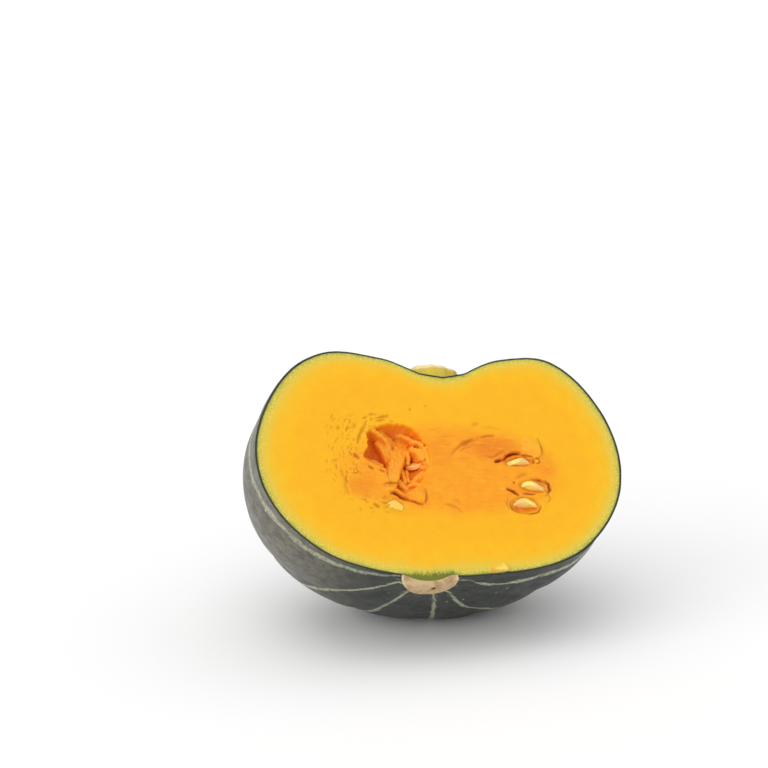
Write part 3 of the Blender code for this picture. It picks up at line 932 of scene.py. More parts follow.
# Folds, strands and lumps of pulp in the hollow.
FOLDS = folds(
    # The broad tongue, from the bowl's floor down to the face.
    (0.62, 0.16, (-19.6, 21.9, -8.5, 4.4), (-21.4, 18.0, -6.6, 4.5), (-23.1, 14.2, -5.0, 4.3),
     (-25.0, 9.7, -3.4, 4.0), (-26.8, 5.2, -1.9, 3.7), (-28.4, 0.9, -0.6, 3.5),
     (-29.5, -2.3, -0.1, 3.2)),
    # The strand across the upper left, and the web under it.
    (0.1, 0.4, (-38.6, 27.2, -0.1, 1.3), (-34.6, 25.0, -1.0, 1.2), (-31.6, 23.3, -2.0, 1.2),
     (-29.0, 21.4, -3.2, 1.2), (-27.5, 19.0, -4.8, 1.4), (-26.7, 16.1, -6.0, 1.6)),
    (0.2, 0.3, (-31.2, 25.8, -4.6, 1.6), (-27.5, 23.4, -6.4, 2.2), (-24.5, 20.4, -7.6, 2.6)),
    (0.3, 0.3, (-32.3, 20.8, -5.4, 1.6), (-29.3, 17.0, -5.4, 2.3), (-28.0, 13.8, -6.0, 2.2),
     (-27.6, 11.1, -7.0, 1.6)),
    (0.3, 0.4, (-38.8, 12.8, -6.6, 1.4), (-35.6, 11.4, -6.0, 1.8), (-31.8, 9.4, -5.6, 1.6)),
    # The lip along the lower left.
    (0.1, 0.4, (-41.4, 10.9, -0.3, 0.8), (-38.7, 8.4, 0.1, 0.9), (-36.8, 7.5, 0.1, 0.9),
     (-34.5, 6.6, 0.1, 0.9), (-31.4, 5.0, -0.2, 0.9)),
    # The arc over the tongue's head.
    (0.1, 0.4, (-22.9, 25.6, -7.4, 1.2), (-20.9, 24.9, -5.6, 1.1), (-19.0, 23.8, -4.6, 1.0),
     (-16.5, 21.8, -3.4, 1.0), (-15.0, 20.5, -2.6, 1.0)),
    # Lumps at the right.
    (0.5, 0.4, (-16.6, 17.2, -3.6, 1.6), (-13.9, 15.6, -1.7, 2.3), (-13.1, 12.9, -1.6, 2.4)),
    (0.2, 0.5, (-11.0, 16.6, -1.2, 1.3), (-10.2, 12.8, -1.1, 1.1), (-9.9, 9.3, -0.9, 1.1)),
    (0.2, 0.4, (-12.9, 8.6, -4.2, 1.0), (-10.0, 8.0, -2.4, 1.0), (-9.0, 7.6, -1.2, 1.0)),
    (0.1, 0.8, (-16.9, 20.6, -2.6, 0.9), (-13.9, 19.9, -1.6, 1.1), (-12.3, 18.4, -1.0, 1.0)),
    (0.3, 0.5, (-11.9, 10.4, -2.6, 1.0), (-10.2, 9.6, -1.6, 1.5), (-8.6, 9.2, -0.8, 1.6)),
    (0.2, 0.5, (-18.9, 16.2, -5.8, 1.1), (-18.1, 13.4, -5.6, 1.2), (-18.6, 11.0, -6.0, 1.1)),
    # Strings and small folds low at the right.
    (0.1, 0.4, (-21.9, 8.4, -5.6, 0.9), (-21.7, 4.4, -4.4, 0.9), (-21.3, 0.6, -3.4, 1.0)),
    (0.1, 0.4, (-19.3, 7.2, -6.4, 0.8), (-19.6, 4.8, -5.4, 0.8), (-19.6, 1.2, -4.0, 0.9)),
    (0.2, 0.4, (-18.4, -0.3, -4.2, 1.3), (-15.7, 2.7, -3.4, 1.4), (-13.2, 4.4, -2.0, 1.3)),
    (0.1, 0.5, (-19.8, -1.3, -3.0, 0.9), (-17.4, -0.8, -2.2, 1.0), (-15.6, -1.4, -1.2, 0.9)),
    (0.3, 0.4, (-25.0, 1.4, -3.2, 1.4), (-23.2, -0.9, -3.2, 1.6), (-21.2, -3.1, -3.0, 1.4)),
    # The flap at the foot, with its ragged upper edge.
    (0.3, 0.5, (-30.8, -3.2, 0.1, 1.0), (-27.8, -4.3, 0.25, 0.9), (-25.3, -6.2, 0.3, 0.9),
     (-22.9, -7.9, 0.4, 0.9), (-19.0, -9.3, 0.6, 0.9), (-15.5, -10.7, 0.6, 0.8)),
    (0.75, 0.2, (-20.2, -6.6, -0.1, 1.4), (-17.0, -7.0, 0.5, 3.0), (-15.9, -7.6, 0.7, 2.9)),
)

# Creases of the cut face, with the slits beside the seeds.
CREASES = grooves(
    (0.75, 0.5, 0.2, 0.32, (0.7, 12.6), (3.2, 15.6), (5.5, 17.7), (10.8, 20.2), (15.9, 21.6)),
    (1.5, 0.5, 0.1, 0.4, (5.8, 18.1), (9.4, 20.0), (13.2, 21.0)),
    (0.5, 0.5, 0.15, 0.5, (16.0, 22.4), (20.6, 23.4), (23.7, 23.2)),
    (0.5, 0.3, 0.12, 0.3, (4.6, 15.0), (8.0, 16.9), (12.0, 17.4)),
    (0.7, 0.3, 0.1, 0.2, (8.5, 17.2), (13, 18.6), (20.3, 18.2)),
    (0.8, 0.2, 0.0, 0.2, (16.6, 27.4), (21.6, 27.8), (27, 26.9)),
    (1.2, 0.2, 0.0, 0.3, (12.5, 28.9), (16.5, 29.4)),
    (0.55, 0.55, 0.2, 0.6, (-33.8, 30.9), (-30.5, 31.8), (-27.2, 32.2)),
    (0.45, 0.40, 0.1, 0.5, (-34.6, 29.4), (-29.3, 30.4)),
    (0.75, 0.6, 0.25, 0.45, (-43.6, 17.8), (-43.0, 21.0), (-41.2, 24.6), (-38.6, 27.8)),
    (0.7, 0.9, 0.3, 0.7, (-45.9, 13.3), (-43.4, 10.3)),
    (0.5, 0.45, 0.1, 0.5, (-48.2, 14.2), (-46.6, 11.8)),
    (0.6, 0.6, 0.2, 0.55, (-50.2, 2.6), (-50.6, 0.2), (-49.1, -1.8)),
    (0.7, 0.4, 0.2, 0.3, (-50.9, -0.5), (-50.6, -4.1), (-49.2, -7.6)),
    (0.45, 0.35, 0.1, 0.4, (-47.2, 3.4), (-44.4, 3.6)),
    (0.8, 0.6, 0.1, 0.55, (-38.8, -11.6), (-35.6, -13.2)),
    (0.7, 0.3, 0.0, 0.2, (-42.5, -7.2), (-38.6, -8.6)),
    (0.6, 0.65, 0.15, 0.65, (-32.6, -1.9), (-29.1, -0.9), (-24.9, -1.2)),
    (0.5, 0.3, 0.0, 0.3, (-32.0, -3.0), (-27.0, -2.1)),
    (0.6, 0.7, 0.1, 0.7, (-39.6, 7.0), (-36.9, 5.5)),
    (0.5, 0.5, 0.1, 0.55, (-34.6, 5.3), (-31.7, 4.0)),
    (0.8, 1.5, 0.0, 0.9, (-30.4, -6.0), (-27.4, -6.5), (-24.9, -8.3), (-21.4, -9.6)),
    (0.55, 0.7, 0.0, 0.65, (-22.8, -9.3), (-19.0, -10.5), (-14.6, -11.9)),
    (0.7, 0.5, 0.0, 0.4, (-13.0, -3.4), (-12.9, -7.4), (-13.8, -11.4)),
    (0.5, 0.5, 0.0, 0.6, (-17.6, 35.9), (-16.4, 35.6)),
    (0.45, 0.35, 0.0, 0.5, (-9.8, 38.0), (-8.6, 37.8)),
    (0.9, 0.3, 0.15, 0.25, (-4.3, -10.9), (-2.3, -11.8), (1.4, -13.0), (4.6, -15.9)),
    (0.7, 0.2, 0.0, 0.2, (-1.0, -8.9), (3.5, -9.8)),
    (0.6, 0.3, 0.15, 0.35, (17.6, 13.0), (20.6, 12.2), (23.8, 13.6), (28.0, 15.9)),
    (0.8, 1.5, 0.3, 1.0, (21.8, 10.2), (24.0, 10.7), (26.2, 11.4)),
    (0.75, 2.2, 0.3, 1.0, (26.2, 11.2), (28.2, 13.0), (30.6, 14.1), (33.4, 14.7), (35.6, 14.8)),
    (0.45, 0.9, 0.0, 0.8, (34.6, 14.3), (38.2, 13.3), (41.4, 12.5)),
    (0.45, 0.5, 0.1, 0.55, (45.0, 23.0), (46.0, 18.8), (46.8, 14.2)),
    (0.4, 0.6, 0.0, 0.7, (41.6, 11.7), (41.4, 10.6), (41.9, 9.7)),
    (0.45, 0.5, 0.1, 0.5, (42.2, 12.4), (44.2, 11.8), (44.4, 10.2), (42.6, 9.4)),
    (0.6, 1.5, 0.25, 1.0, (26.1, -3.1), (28.4, -4.1), (30.2, -5.0), (32.4, -6.7)),
    (0.45, 0.8, 0.1, 0.8, (34.0, -5.5), (37.6, -5.8), (41.0, -5.8)),
    (0.6, 0.6, 0.1, 0.7, (30.2, 0.3), (30.8, -0.6)),
    (0.8, 0.9, 0.15, 1.0, (45.2, 1.1), (47.4, -0.8), (48.1, -3.4), (46.0, -5.4)),
    (0.6, 0.8, 0.15, 0.85, (41.4, 1.3), (43.6, 1.0), (45.6, 0.2)),
    (0.6, 0.6, 0.15, 0.6, (27.1, -9.9), (28.0, -12.8), (30.8, -14.4), (33.4, -15.1)),
    (0.6, 0.8, 0.15, 0.85, (33.0, -15.1), (36.8, -15.7), (40.9, -14.5), (43.0, -11.2)),
    (0.5, 0.5, 0.1, 0.6, (38.6, 1.6), (41.0, 1.5), (44.4, 1.0)),
    (0.4, 0.35, 0.1, 0.45, (44.6, -6.9), (46.6, -5.9), (47.9, -8.1), (45.6, -10.3)),
    (0.5, 0.3, 0.1, 0.35, (26.9, -7.4), (25.6, -10.7), (26.6, -14.0)),
    (0.8, 0.3, 0.2, 0.25, (31.4, 1.6), (34.2, 3.4), (38.0, 4.2)),
    (0.9, 0.22, 0.0, 0.1, (26.0, -18.6), (33.0, -20.0), (41.0, -18.9)),
    (0.5, 0.7, 0.0, 0.6, (14.6, -44.4), (18.2, -45.2), (20.4, -43.6)),
)

# Low raised bits on the face: the flap over the upper seed, the bulb at its foot, and the
# two folds of the flake by the rim.
RAISED = folds(
    (0.86, 0.06, (39.6, 20.0, 0.2, 3.4), (40.7, 17.4, 0.7, 5.3), (41.0, 16.4, 1.0, 5.0)),
    (0.3, 0.2, (42.8, 11.1, 0.5, 0.9), (43.4, 10.8, 0.5, 0.9)),
    (0.2, 0.5, (16.8, -42.8, 0.4, 0.7), (18.6, -42.4, 0.8, 1.0), (20.6, -42.6, 1.2, 1.1)),
    (0.15, 0.4, (20.4, -40.6, 0.6, 0.8), (21.6, -42.3, 1.5, 1.1), (22.2, -44.0, 0.6, 0.8)),
)

# Open sockets round the seeds at the right, and the shallow smooth dent at the left.
DISHES = (
    Dish((33.9, 10.6), (8.3, 2.6), 2.2, 1),
    Dish((40.2, -2.2), (7.7, 3.2), 2.1, -5),
    Dish((34.9, -11.5), (8.2, 4.0), 2.7, 1),
    Dish((-42.5, -2.5), (11.5, 8.0), 0.35, -14, 0.0),
)

# Places where the pulp is a deeper orange, and a painted shadow beside the flake: middle, reach
# and strength.
WARM = (
    ((-43.5, -2.8), (11, 8), 0.75),
    ((22.0, 17.0), (18, 8.5), 1.0),
    # Painted shadow on the left of the flake by the rim.
    ((15.6, -43.4), (3.4, 1.9), 0.5),
    ((38.0, -5.0), (15, 10), 0.25),
    ((-4.0, 14.0), (9, 11), 0.4),
    ((-27.0, -8.0), (10, 5), 0.45),
    ((47.5, 8.0), (6, 12), 0.35),
)


@dataclass
class Hollow(Bounded):
    """The torn hollow in the pulp: a bowl with folds standing in it."""

    rim: tuple[Pair, ...] = (
        (-37.9, 24.7), (-34.9, 26.7), (-31.7, 27.7), (-28.0, 28.4), (-24.3, 28.4), (-20.6, 28.0),
        (-17.0, 26.7), (-14.3, 24.3), (-12.3, 21.2), (-10.7, 18.6), (-9.5, 15.5), (-9.1, 12.4),
        (-9.0, 9.4), (-11.2, 6.3), (-12.5, 4.0), (-13.1, 1.3), (-14.8, -1.4), (-16.5, -2.9),
        (-20.7, -5.6), (-25.3, -7.5), (-28.8, -6.5), (-28.2, -3.5), (-29.6, -1.6), (-31.0, 1.4),
        (-31.7, 4.6), (-35.0, 6.4), (-39.2, 8.2), (-40.9, 10.3), (-41.8, 12.2), (-40.6, 14.1),
        (-39.3, 16.4), (-39.1, 20.2), (-39.3, 23.3),
    )
    margin: float = 2.5
    ragged: tuple[Pair, ...] = ((0.45, 1.9), (0.22, 0.7))
    wall: float = 2.7
    steep: float = 0.9
    # The bowl's depth at the upper and at the lower of two places up the face.
    deep_above: float = 10.6
    deep_below: float = 6.6
    deepens: Pair = (-2, 13)
    lip: float = 0.12
    lip_spread: float = 0.8
    # How far folds and bowl run into each other, and how far down a fold is left out.
    blend: float = 0.05
    buried: float = 1.5
    # The torn relief starts and is full at these heights.
    torn_from: Pair = (-0.3, -2.5)

    def __post_init__(self) -> None:
        """Keeps the closed rim and the box round it."""
        self.ring = self.rim + self.rim[:1]
        self.bound(self.rim, self.margin)

    def inside(self, u: float, v: float) -> float:
        """How far inside the rim a place is, below 0 outside it."""
        if self.misses(u, v):
            return FAR_DOWN
        crossings = 0
        for (u0, v0), (u1, v1) in zip(self.ring, self.ring[1:]):
            if (v0 > v) != (v1 > v) and u < u0 + (v - v0) / (v1 - v0) * (u1 - u0):
                crossings += 1
        gap = along(self.ring, u, v)[2] * (1 if crossings % 2 else -1)
        return lumpy(gap, Vector((u, v, 0)), *self.ragged)

    def height(self, u: float, v: float, face: float) -> float:
        """The height of the hollow or of the face round it.

        Args:
            u: Across the face.
            v: Up the face.
            face: The face's own height there.

        Returns:
            The height, in millimetres.
        """
        gap = self.inside(u, v)
        if gap > 0:
            deep = self.deep_below + (self.deep_above - self.deep_below) * ease(*self.deepens, v)
            high = face - deep * (1 - math.exp(-((gap / self.wall) ** self.steep)))
        else:
            high = face + self.lip * hump(gap, 0, self.lip_spread)
        for fold in FOLDS:
            other = fold.height(u, v)
            step = other - high
            if step > -self.buried:
                high = 0.5 * (high + other + math.sqrt(step * step + self.blend))
        return high

    def torn(self, u: float, v: float, high: float) -> float:
        """The fine torn relief in the hollow."""
        share = ease(*self.torn_from, high)
        if share <= 0:
            return 0.0
        at = Vector((u, v, 0.4 * high))
        string = noise.noise(Vector((at.x / 0.75, at.y / 3.4, at.z)))
        return share * (
            0.42 * noise.noise(at / 2.3) + 0.28 * string + 0.17 * noise.noise(at / 0.8)
        )


@dataclass(frozen=True)
class Pits:
    """Short torn pits in the flesh left of the hollow, lying round it."""

    seed: int = 4
    count: int = 150
    # They lie on an oval ring round a middle: its bearings, and its reach and spread.
    middle: Pair = (-24.0, 11.0)
    oval: Pair = (1.02, 0.84)
    bearings: Pair = (95, 262)
    reach: float = 28
    spread: float = 5.5
    across: Pair = (-61, -22)
    up: Pair = (-16, 34)
    # A smooth place without pits.
    smooth_middle: Pair = (-42.5, -3.0)
    smooth_reach: Pair = (10, 6.5)
    # Half length, half width, depth, lip and painted shade of a pit, each from low to high.
    sizes: tuple[Pair, ...] = ((0.5, 1.5), (0.3, 0.55), (0.12, 0.42), (0.05, 0.2), (0.12, 0.42))

    def grooves(self) -> list[Groove]:
        """The pits as grooves, with a random draw for each place and size."""
        draw = random.Random(self.seed)
        made: list[Groove] = []
        while len(made) < self.count:
            bearing = math.radians(draw.uniform(*self.bearings))
            reach = draw.gauss(self.reach, self.spread)
            u = self.middle[0] + self.oval[0] * reach * math.cos(bearing)
            v = self.middle[1] + self.oval[1] * reach * math.sin(bearing)
            if oval(u, v, self.smooth_middle, self.smooth_reach) < 1:
                continue
            if not (self.across[0] <= u <= self.across[1] and self.up[0] < v < self.up[1]):
                continue
            turn = bearing + math.pi / 2 + draw.uniform(-0.5, 0.5)
            half = draw.uniform(*self.sizes[0])
            du, dv = half * math.cos(turn), half * math.sin(turn)
            bend = draw.uniform(-0.3, 0.3)
            line = (u - du, v - dv), (u + bend, v), (u + du, v + dv)
            made.append(Groove(*(draw.uniform(*size) for size in self.sizes[1:]), line))
        return made


@dataclass
class Knife:
    """The cut face's own relief, as a block whose underside the knife left on the flesh."""

    half_width: float = 98.0
    low: float = -76.0
    high: float = 104.0
    coarse: float = 1.6
    # Finer grid lines, as (from, to, step).
    fine_u: tuple[Triple, ...] = (
        (-63, -43, 0.5), (-43, -8, 0.30), (-8, 21, 0.6), (21, 50, 0.36),
    )
    fine_v: tuple[Triple, ...] = (
        (-47, -39, 0.55), (-20, -13, 0.5), (-13, 31, 0.32), (31, 39, 0.6),
    )
    rise: float = 110.0
    # Broad lumps of the face, how far its middle lies under the plane, and lumps of the pulp.
    lumps: tuple[Pair, ...] = ((0.14, 26), (0.07, 7))
    low_by: float = 0.08
    strings: float = 0.13
    pulp_lumps: Pair = (0.08, 2.2)
    # The stringy pulp's middle, and its reach to the sides, upwards and downwards.
    pulp_middle: Pair = (1, 4.5)
    pulp_reach: Triple = (53, 25, 22)
    pulp_edge: Pair = (0.70, 1.15)
    pulp_wobble: Pair = (0.10, 12)
    grooves: list[Groove] = field(default_factory=lambda: CREASES + Pits().grooves())
    hollow: Hollow = field(default_factory=Hollow)

    def ticks(self, low: float, high: float, spans: Sequence[Triple]) -> list[float]:
        """Grid lines, close together inside the spans and wider outside them."""
        made = [low]
        while made[-1] < high:
            steps = [step for start, end, step in spans if start <= made[-1] < end]
            made.append(made[-1] + (steps[0] if steps else self.coarse))
        return made

    def pulp_share(self, u: float, v: float) -> float:
        """1 in the middle of the stringy pulp, 0 in the firm flesh."""
        wide, above, below = self.pulp_reach
        reach = oval(u, v, self.pulp_middle, (wide, above if v > self.pulp_middle[1] else below))
        return 1 - ease(*self.pulp_edge, lumpy(reach, Vector((u, v, 3)), self.pulp_wobble))

    def warmth(self, u: float, v: float) -> float:
        """How much deeper the orange is at a place, the painted shadow by the flake included, from
        0 to 1.
        """
        share = 0.0
        for middle, reach, strength in WARM:
            share = max(share, strength * (1 - ease(0.25, 1.0, oval(u, v, middle, reach))))
        return share * (1 - ease(-0.2, 0.15, RAISED[0].height(u, v)))

    def height(self, u: float, v: float) -> float:
        """Height of the cut face over the cut plane, in millimetres."""
        at = Vector((u, v, 0))
        rise = lumpy(0.0, at, *self.lumps) - self.low_by
        pulp = self.pulp_share(u, v)
        if pulp > 0:
            string = noise.noise(Vector((u / 9, (v + 0.1 * u) / 1.5, 7)))
            rise += pulp * lumpy(self.strings * string, at, self.pulp_lumps)
        rise += sum(dish.height(u, v) for dish in DISHES)
        for fold in RAISED:
            rise = max(rise, fold.height(u, v))
        rise = self.hollow.height(u, v, rise)
        rise += self.hollow.torn(u, v, rise)
        for groove in self.grooves:
            rise += groove.read(u, v)[0]
        return rise

    def block(self) -> Thing:
        """The block that the knife took away, with this relief below."""
        us = self.ticks(-self.half_width, self.half_width, self.fine_u)
        vs = self.ticks(self.low, self.high, self.fine_v)
        add, wide, tall = bpy.ops.mesh.primitive_grid_add, len(us) - 1, len(vs) - 1
        knife = primitive("knife", add, x_subdivisions=wide, y_subdivisions=tall, size=2.0)

        def place(old: Vector) -> Vector:
            """The grid's point at its own spacing and height."""
            u = us[round((old.x + 1) / 2 * wide)]
            v = vs[round((old.y + 1) / 2 * tall)]
            return Vector((u, v, self.height(u, v)))

        shaped(knife, place)
        with editing(knife):
            bpy.ops.mesh.extrude_region_move(
                TRANSFORM_OT_translate={"value": (0, 0, self.rise)}
            )
        return closed_in(knife)


@dataclass
class Seed:
    """One seed: a flat drop with a raised rim round its wavy edge."""

    node: str
    name: str
    # Middle (U, V, N), then turn on the face, lift of the pointed end and roll, in degrees.
    middle: Triple
    turn: float
    lift: float
    roll: float
    finish: SeedFinish = SeedFinish()
    length: float = 14.6
    width: float = 9.4
    thickness: float = 3.6
    # How much narrower the pointed end is, and how much wider the round one.
    tip: float = 0.30
    butt: float = 0.05
    # The raised rim: height in thicknesses, and its place and spread in half widths.
    rim: float = 0.20
    rim_at: float = 0.93
    rim_spread: float = 0.05
    wave: float = 0.85
    uneven: float = 0.06
    ridges: float = 0.07
    around: int = 64
    rings: int = 56

    def stand(self) -> Matrix:
        """Puts the seed in its place in the cut frame."""
        return (
            Matrix.Translation(self.middle)
            @ Matrix.Rotation(math.radians(self.turn), 4, "Z")
            @ Matrix.Rotation(-math.radians(self.lift), 4, "Y")
            @ Matrix.Rotation(math.radians(self.roll), 4, "X")
        )

    def skin(self, old: Vector, grown: float) -> Vector:
        """A point of a ball, moved to the seed's skin, along X and flat in Z."""
        x, y, z = old
        reach = math.hypot(x, y)
        narrow = 1 - self.tip * max(0.0, x) ** 2 + self.butt * min(0.0, x) ** 2
        core = math.sqrt(max(0.0, 1 - (reach / 0.97) ** 2)) ** 0.85
        rim = self.rim * hump(reach, self.rim_at, self.rim_spread)
        edge = min(1.0, math.sqrt(max(0.0, 1 - reach * reach)) / 0.22)
        thick = (core + rim) * edge * self.thickness / 2 + grown
        lump = Vector((x * 2.2, y * 2, z * 2)) + Vector(self.middle)
        uneven = 1 + self.uneven * noise.noise(lump)
        # A seed that stands on edge shows its ridges and its wave.
        on_edge = abs(math.sin(math.radians(self.roll)))
        ridge = self.ridges * noise.noise(Vector((x * 2.6, y * 5.5, self.middle[1])))
        thick += ridge * core * self.thickness * on_edge
        bend = self.wave * math.sin(3.4 * x + 0.3 * self.middle[0]) * ease(0.35, 0.95, reach)
        return Vector(
            (
                x * (self.length / 2 + grown) * uneven,
                y * (self.width / 2 * narrow + grown) * uneven,
                (math.copysign(thick, z) if abs(z) > 1e-6 else 0.0) * uneven + bend * on_edge,
            )
        )

    def drop(self, name: str, grown: float = 0.0) -> Thing:
        """The seed's body, not yet in its place, or a body that is bigger all round."""
        return shaped_ball(name, self.around, self.rings, lambda old: self.skin(old, grown))

    def pocket(self, grown: float) -> Thing:
        """What the seed takes out of the flesh, bigger by some millimetres."""
        tool = self.drop("pocket", grown)
        tool.data.transform(self.stand())
        return tool

    def values(self, at: Vector) -> Stored:
        """What the seed's finish reads at a point of it."""
        reach = math.hypot(at.x / self.length * 2, at.y / self.width * 2)
        return {"rim": ease(0.78, 0.92, reach), "seed_mm": tuple(at)}

    def build(self) -> None:
        """Builds and dresses the seed in place of its CAD node."""
        drop = self.drop(self.name)
        store(drop, self.values)
        drop.data.transform(self.stand())
        hand_over(drop, self.finish.material(self.name + "_coat"), Slot.SEED, self.node)


SEEDS = (
    Seed("seed_right_upper", "upper_right_seed", (34.4, 10.2, -4.0), -1, 0, 86),
    Seed("seed_right_middle", "middle_right_seed", (40.2, -2.0, -3.9), -7, 0, 83),
    Seed("seed_right_lower", "lower_right_seed", (35.0, -10.2, -4.2), 178, 0, -85),
    Seed(
        "seed_in_hollow", "hollow_seed", (-12.6, 10.5, -8.4), 187, 6, 76,
        SeedFinish(film=0.9, pulp=(246, 170, 80)),
    ),
    Seed(
        "seed_left_lower", "lower_left_seed", (-31.4, -13.0, -2.25), -3, 13, 10,
        SeedFinish(film=0.85),
    ),
)


@dataclass
class Rind:
    """The dark skin as a closed shell, cut off level with the face."""

    around: int = 360
    rings: int = 180
    thickness: float = 1.2
    dents: tuple[Pair, ...] = ((0.16, 9), (0.07, 3.2))
    # Azimuth in degrees by latitude, from the stem end, and strength.
    stripes: tuple[tuple[Knots, float], ...] = (
        (((-90, -35), (-75, -34), (0, -38), (90, -40)), 0.9),
        (((-90, -12), (-76, -6), (-70, 8), (-62, 13), (-52, 9), (-38, 5), (0, 6), (90, 2)), 1.0),
        (((-90, 50), (-73, 54), (-64, 62), (-52, 62), (-43, 53), (-15, 46), (90, 42)), 1.0),
        (((-90, 82), (-74, 83), (-60, 87), (-40, 87), (0, 82), (90, 86)), 0.9),
        (((-90, 146), (-75, 143), (-63, 134), (-46, 125), (-34, 119), (0, 112), (90, 116)), 1.0),
        (
            ((-90, 186), (-68, 176), (-58, 165), (-50, 160), (-31, 151), (-16, 143), (90, 139)),
            0.95,
        ),
        (((-90, 200), (-66, 192), (-56, 183), (-30, 181), (0, 182), (90, 176)), 0.7),
        (((-90, 232), (-75, 226), (0, 222), (90, 220)), 0.9),
    )
    stripe_half: Knots = (
        (-90, 0.6), (-76, 0.6), (-66, 0.75), (-45, 1.3), (-15, 1.7), (10, 1.8), (45, 1.6),
        (70, 1.0), (90, 0.7),
    )
    # Millimetres for a radian round the squash, and for a degree up it, in the patterns.
    round_scale: float = 60
    up_scale: float = 1.2
    # Short streaks run out from the stem: their middle, from where to where, and below what.
    streaks_middle: Pair = (-14.5, 0.0)
    streaks_fade: Pair = (15, 27)
    streaks_below: float = -30

    def skin(self, grown: float, around: int, rings: int, name: str) -> Thing:
        """The whole squash's skin in the cut frame, level where the half rests.

        Args:
            grown: How far it stands out from the rind, in millimetres.
            around: Points round it.
            rings: Rings from pole to pole.
            name: The object's name.

        Returns:
            The skin as a closed mesh.
        """

        def place(old: Vector) -> Vector:
            """A point of a ball, moved to the rind."""
            point = FORM.point(latitude_of(old.z), math.atan2(old.y, old.x))
            dents = lumpy(0.0, point, *self.dents)
            point = TO_CUT @ (point + point.normalized() * (grown + dents))
            over_floor = (SET_DOWN @ point).z / MM + grown
            return point - UP * min(0.0, over_floor)

        return shaped_ball(name, around, rings, place)

    def stripe_at(self, latitude: float, degrees: float) -> Triple:
        """Reads the stripes at a place of the rind.

        Args:
            latitude: Degrees, -90 at the stem end.
            degrees: The azimuth, in degrees.

        Returns:
            The stripe count up to there, degrees to one stripe more, and the nearer's strength.
        """
        places = [smooth_through(knots, latitude) for knots, _ in self.stripes]
        i = 0
        while i < len(places) - 2 and degrees > places[i + 1]:
            i += 1
        span = places[i + 1] - places[i]
        share = (degrees - places[i]) / span
        nearer = self.stripes[i + 1 if share > 0.5 else i]
        return i + share, span, nearer[1]

    def values(self, at: Vector) -> Stored:
        """What the rind's finish reads at a point of it."""
        point = FROM_CUT @ at
        latitude, azimuth, under = FORM.bearings(point)
        degrees = round_from_front(math.degrees(azimuth))
        count, span, strength = self.stripe_at(latitude, degrees)
        across = math.hypot(point.x + FORM.lean(latitude), point.y)
        from_stem = oval(point.x, point.y, self.streaks_middle, (1, 1))
        streaks = 1 - ease(*self.streaks_fade, from_stem)
        return {
            "stripe_gap_mm": abs(count - round(count)) * math.radians(span) * across,
            "stripe_half_mm": smooth_through(self.stripe_half, latitude),
            "stripe_strength": strength,
            "skin_mm": max(0.0, under),
            "stem_streaks": streaks if latitude < self.streaks_below else 0.0,
            "around_mm": (
                math.radians(degrees) * self.round_scale, latitude * self.up_scale, 0.0
            ),
            "streak": (degrees / 2.2, from_stem / 9, 0.0),
            "squash_mm": tuple(point),
        }

    def build(self, knife: Thing) -> None:
        """Builds and dresses the rind, cut by the knife."""
        shell = self.skin(0.0, self.around, self.rings, "rind")
        carve(shell, self.skin(-self.thickness, self.around // 2, self.rings // 2, "inner"))
        carve(shell, knife, keep=True)
        carve(shell, StemScar().seat())
        store(shell, self.values)
        hand_over(shell, RindFinish().material(), Slot.RIND, "squash_half")


@dataclass
class Flesh:
    """The cut flesh with its pulp, one closed body inside the rind."""

    around: int = 150
    rings: int = 76
    overlap: float = 0.08
    pocket: float = 0.07
    # The flesh is greener round a middle near the stem's scar, by its reach.
    green_middle: Pair = (-14.0, -49)
    green_reach: Pair = (18, 11.5)
    # Painted shade in the grooves colours the face down to this depth.
    shade_depth: float = 3.5
    # How much of the painted highlight the flap and the bulb at its foot take.
    pale_flap: float = 0.13
    pale_bulb: float = 0.3

    def values(self, shape: Knife, at: Vector) -> Stored:
        """What the flesh's finish reads at a point of it.

        Args:
            shape: The cut face's relief.
            at: The point.

        Returns:
            Numbers and places by name.
        """
        u, v, n = at
        # The grooves' painted shade.
        stain = max(groove.read(u, v)[1] for groove in shape.grooves)
        # Painted highlight on the crests of folds and raised bits.
        crest_highlights = [fold.crown(u, v, n) for fold in FOLDS] if n < -0.4 else [0.0]
        flap, bulb, *flake_highlights = (fold.crown(u, v, n) if n > 0.1 else 0.0 for fold in RAISED)
        return {
            "skin_mm": max(0.0, FORM.bearings(FROM_CUT @ at)[2]),
            "greener": 1 - ease(0.3, 1.0, oval(u, v, self.green_middle, self.green_reach)),
            "pulp": shape.pulp_share(u, v),
            "warm": shape.warmth(u, v),
            "depth_mm": max(0.0, -n),
            "crease": stain if n > -self.shade_depth else 0.0,
            "crown": max(crest_highlights),
            "chip": max(self.pale_flap * flap, self.pale_bulb * bulb, *flake_highlights),
            "cut_mm": tuple(at),
        }

    def build(self, rind: Rind, shape: Knife, knife: Thing) -> None:
        """Builds and dresses the flesh.

        Args:
            rind: The skin that it fills.
            shape: The cut face's relief.
            knife: The block that the knife took away.
        """
        body = rind.skin(self.overlap - rind.thickness, self.around, self.rings, "flesh")
        carve(body, knife, keep=True)
        carve(body, StemScar().seat())
        for seed in SEEDS:
            carve(body, seed.pocket(self.pocket))
        store(body, lambda at: self.values(shape, at))
        hand_over(body, FleshFinish().material(), Slot.FLESH, "squash_half", sharp=50)


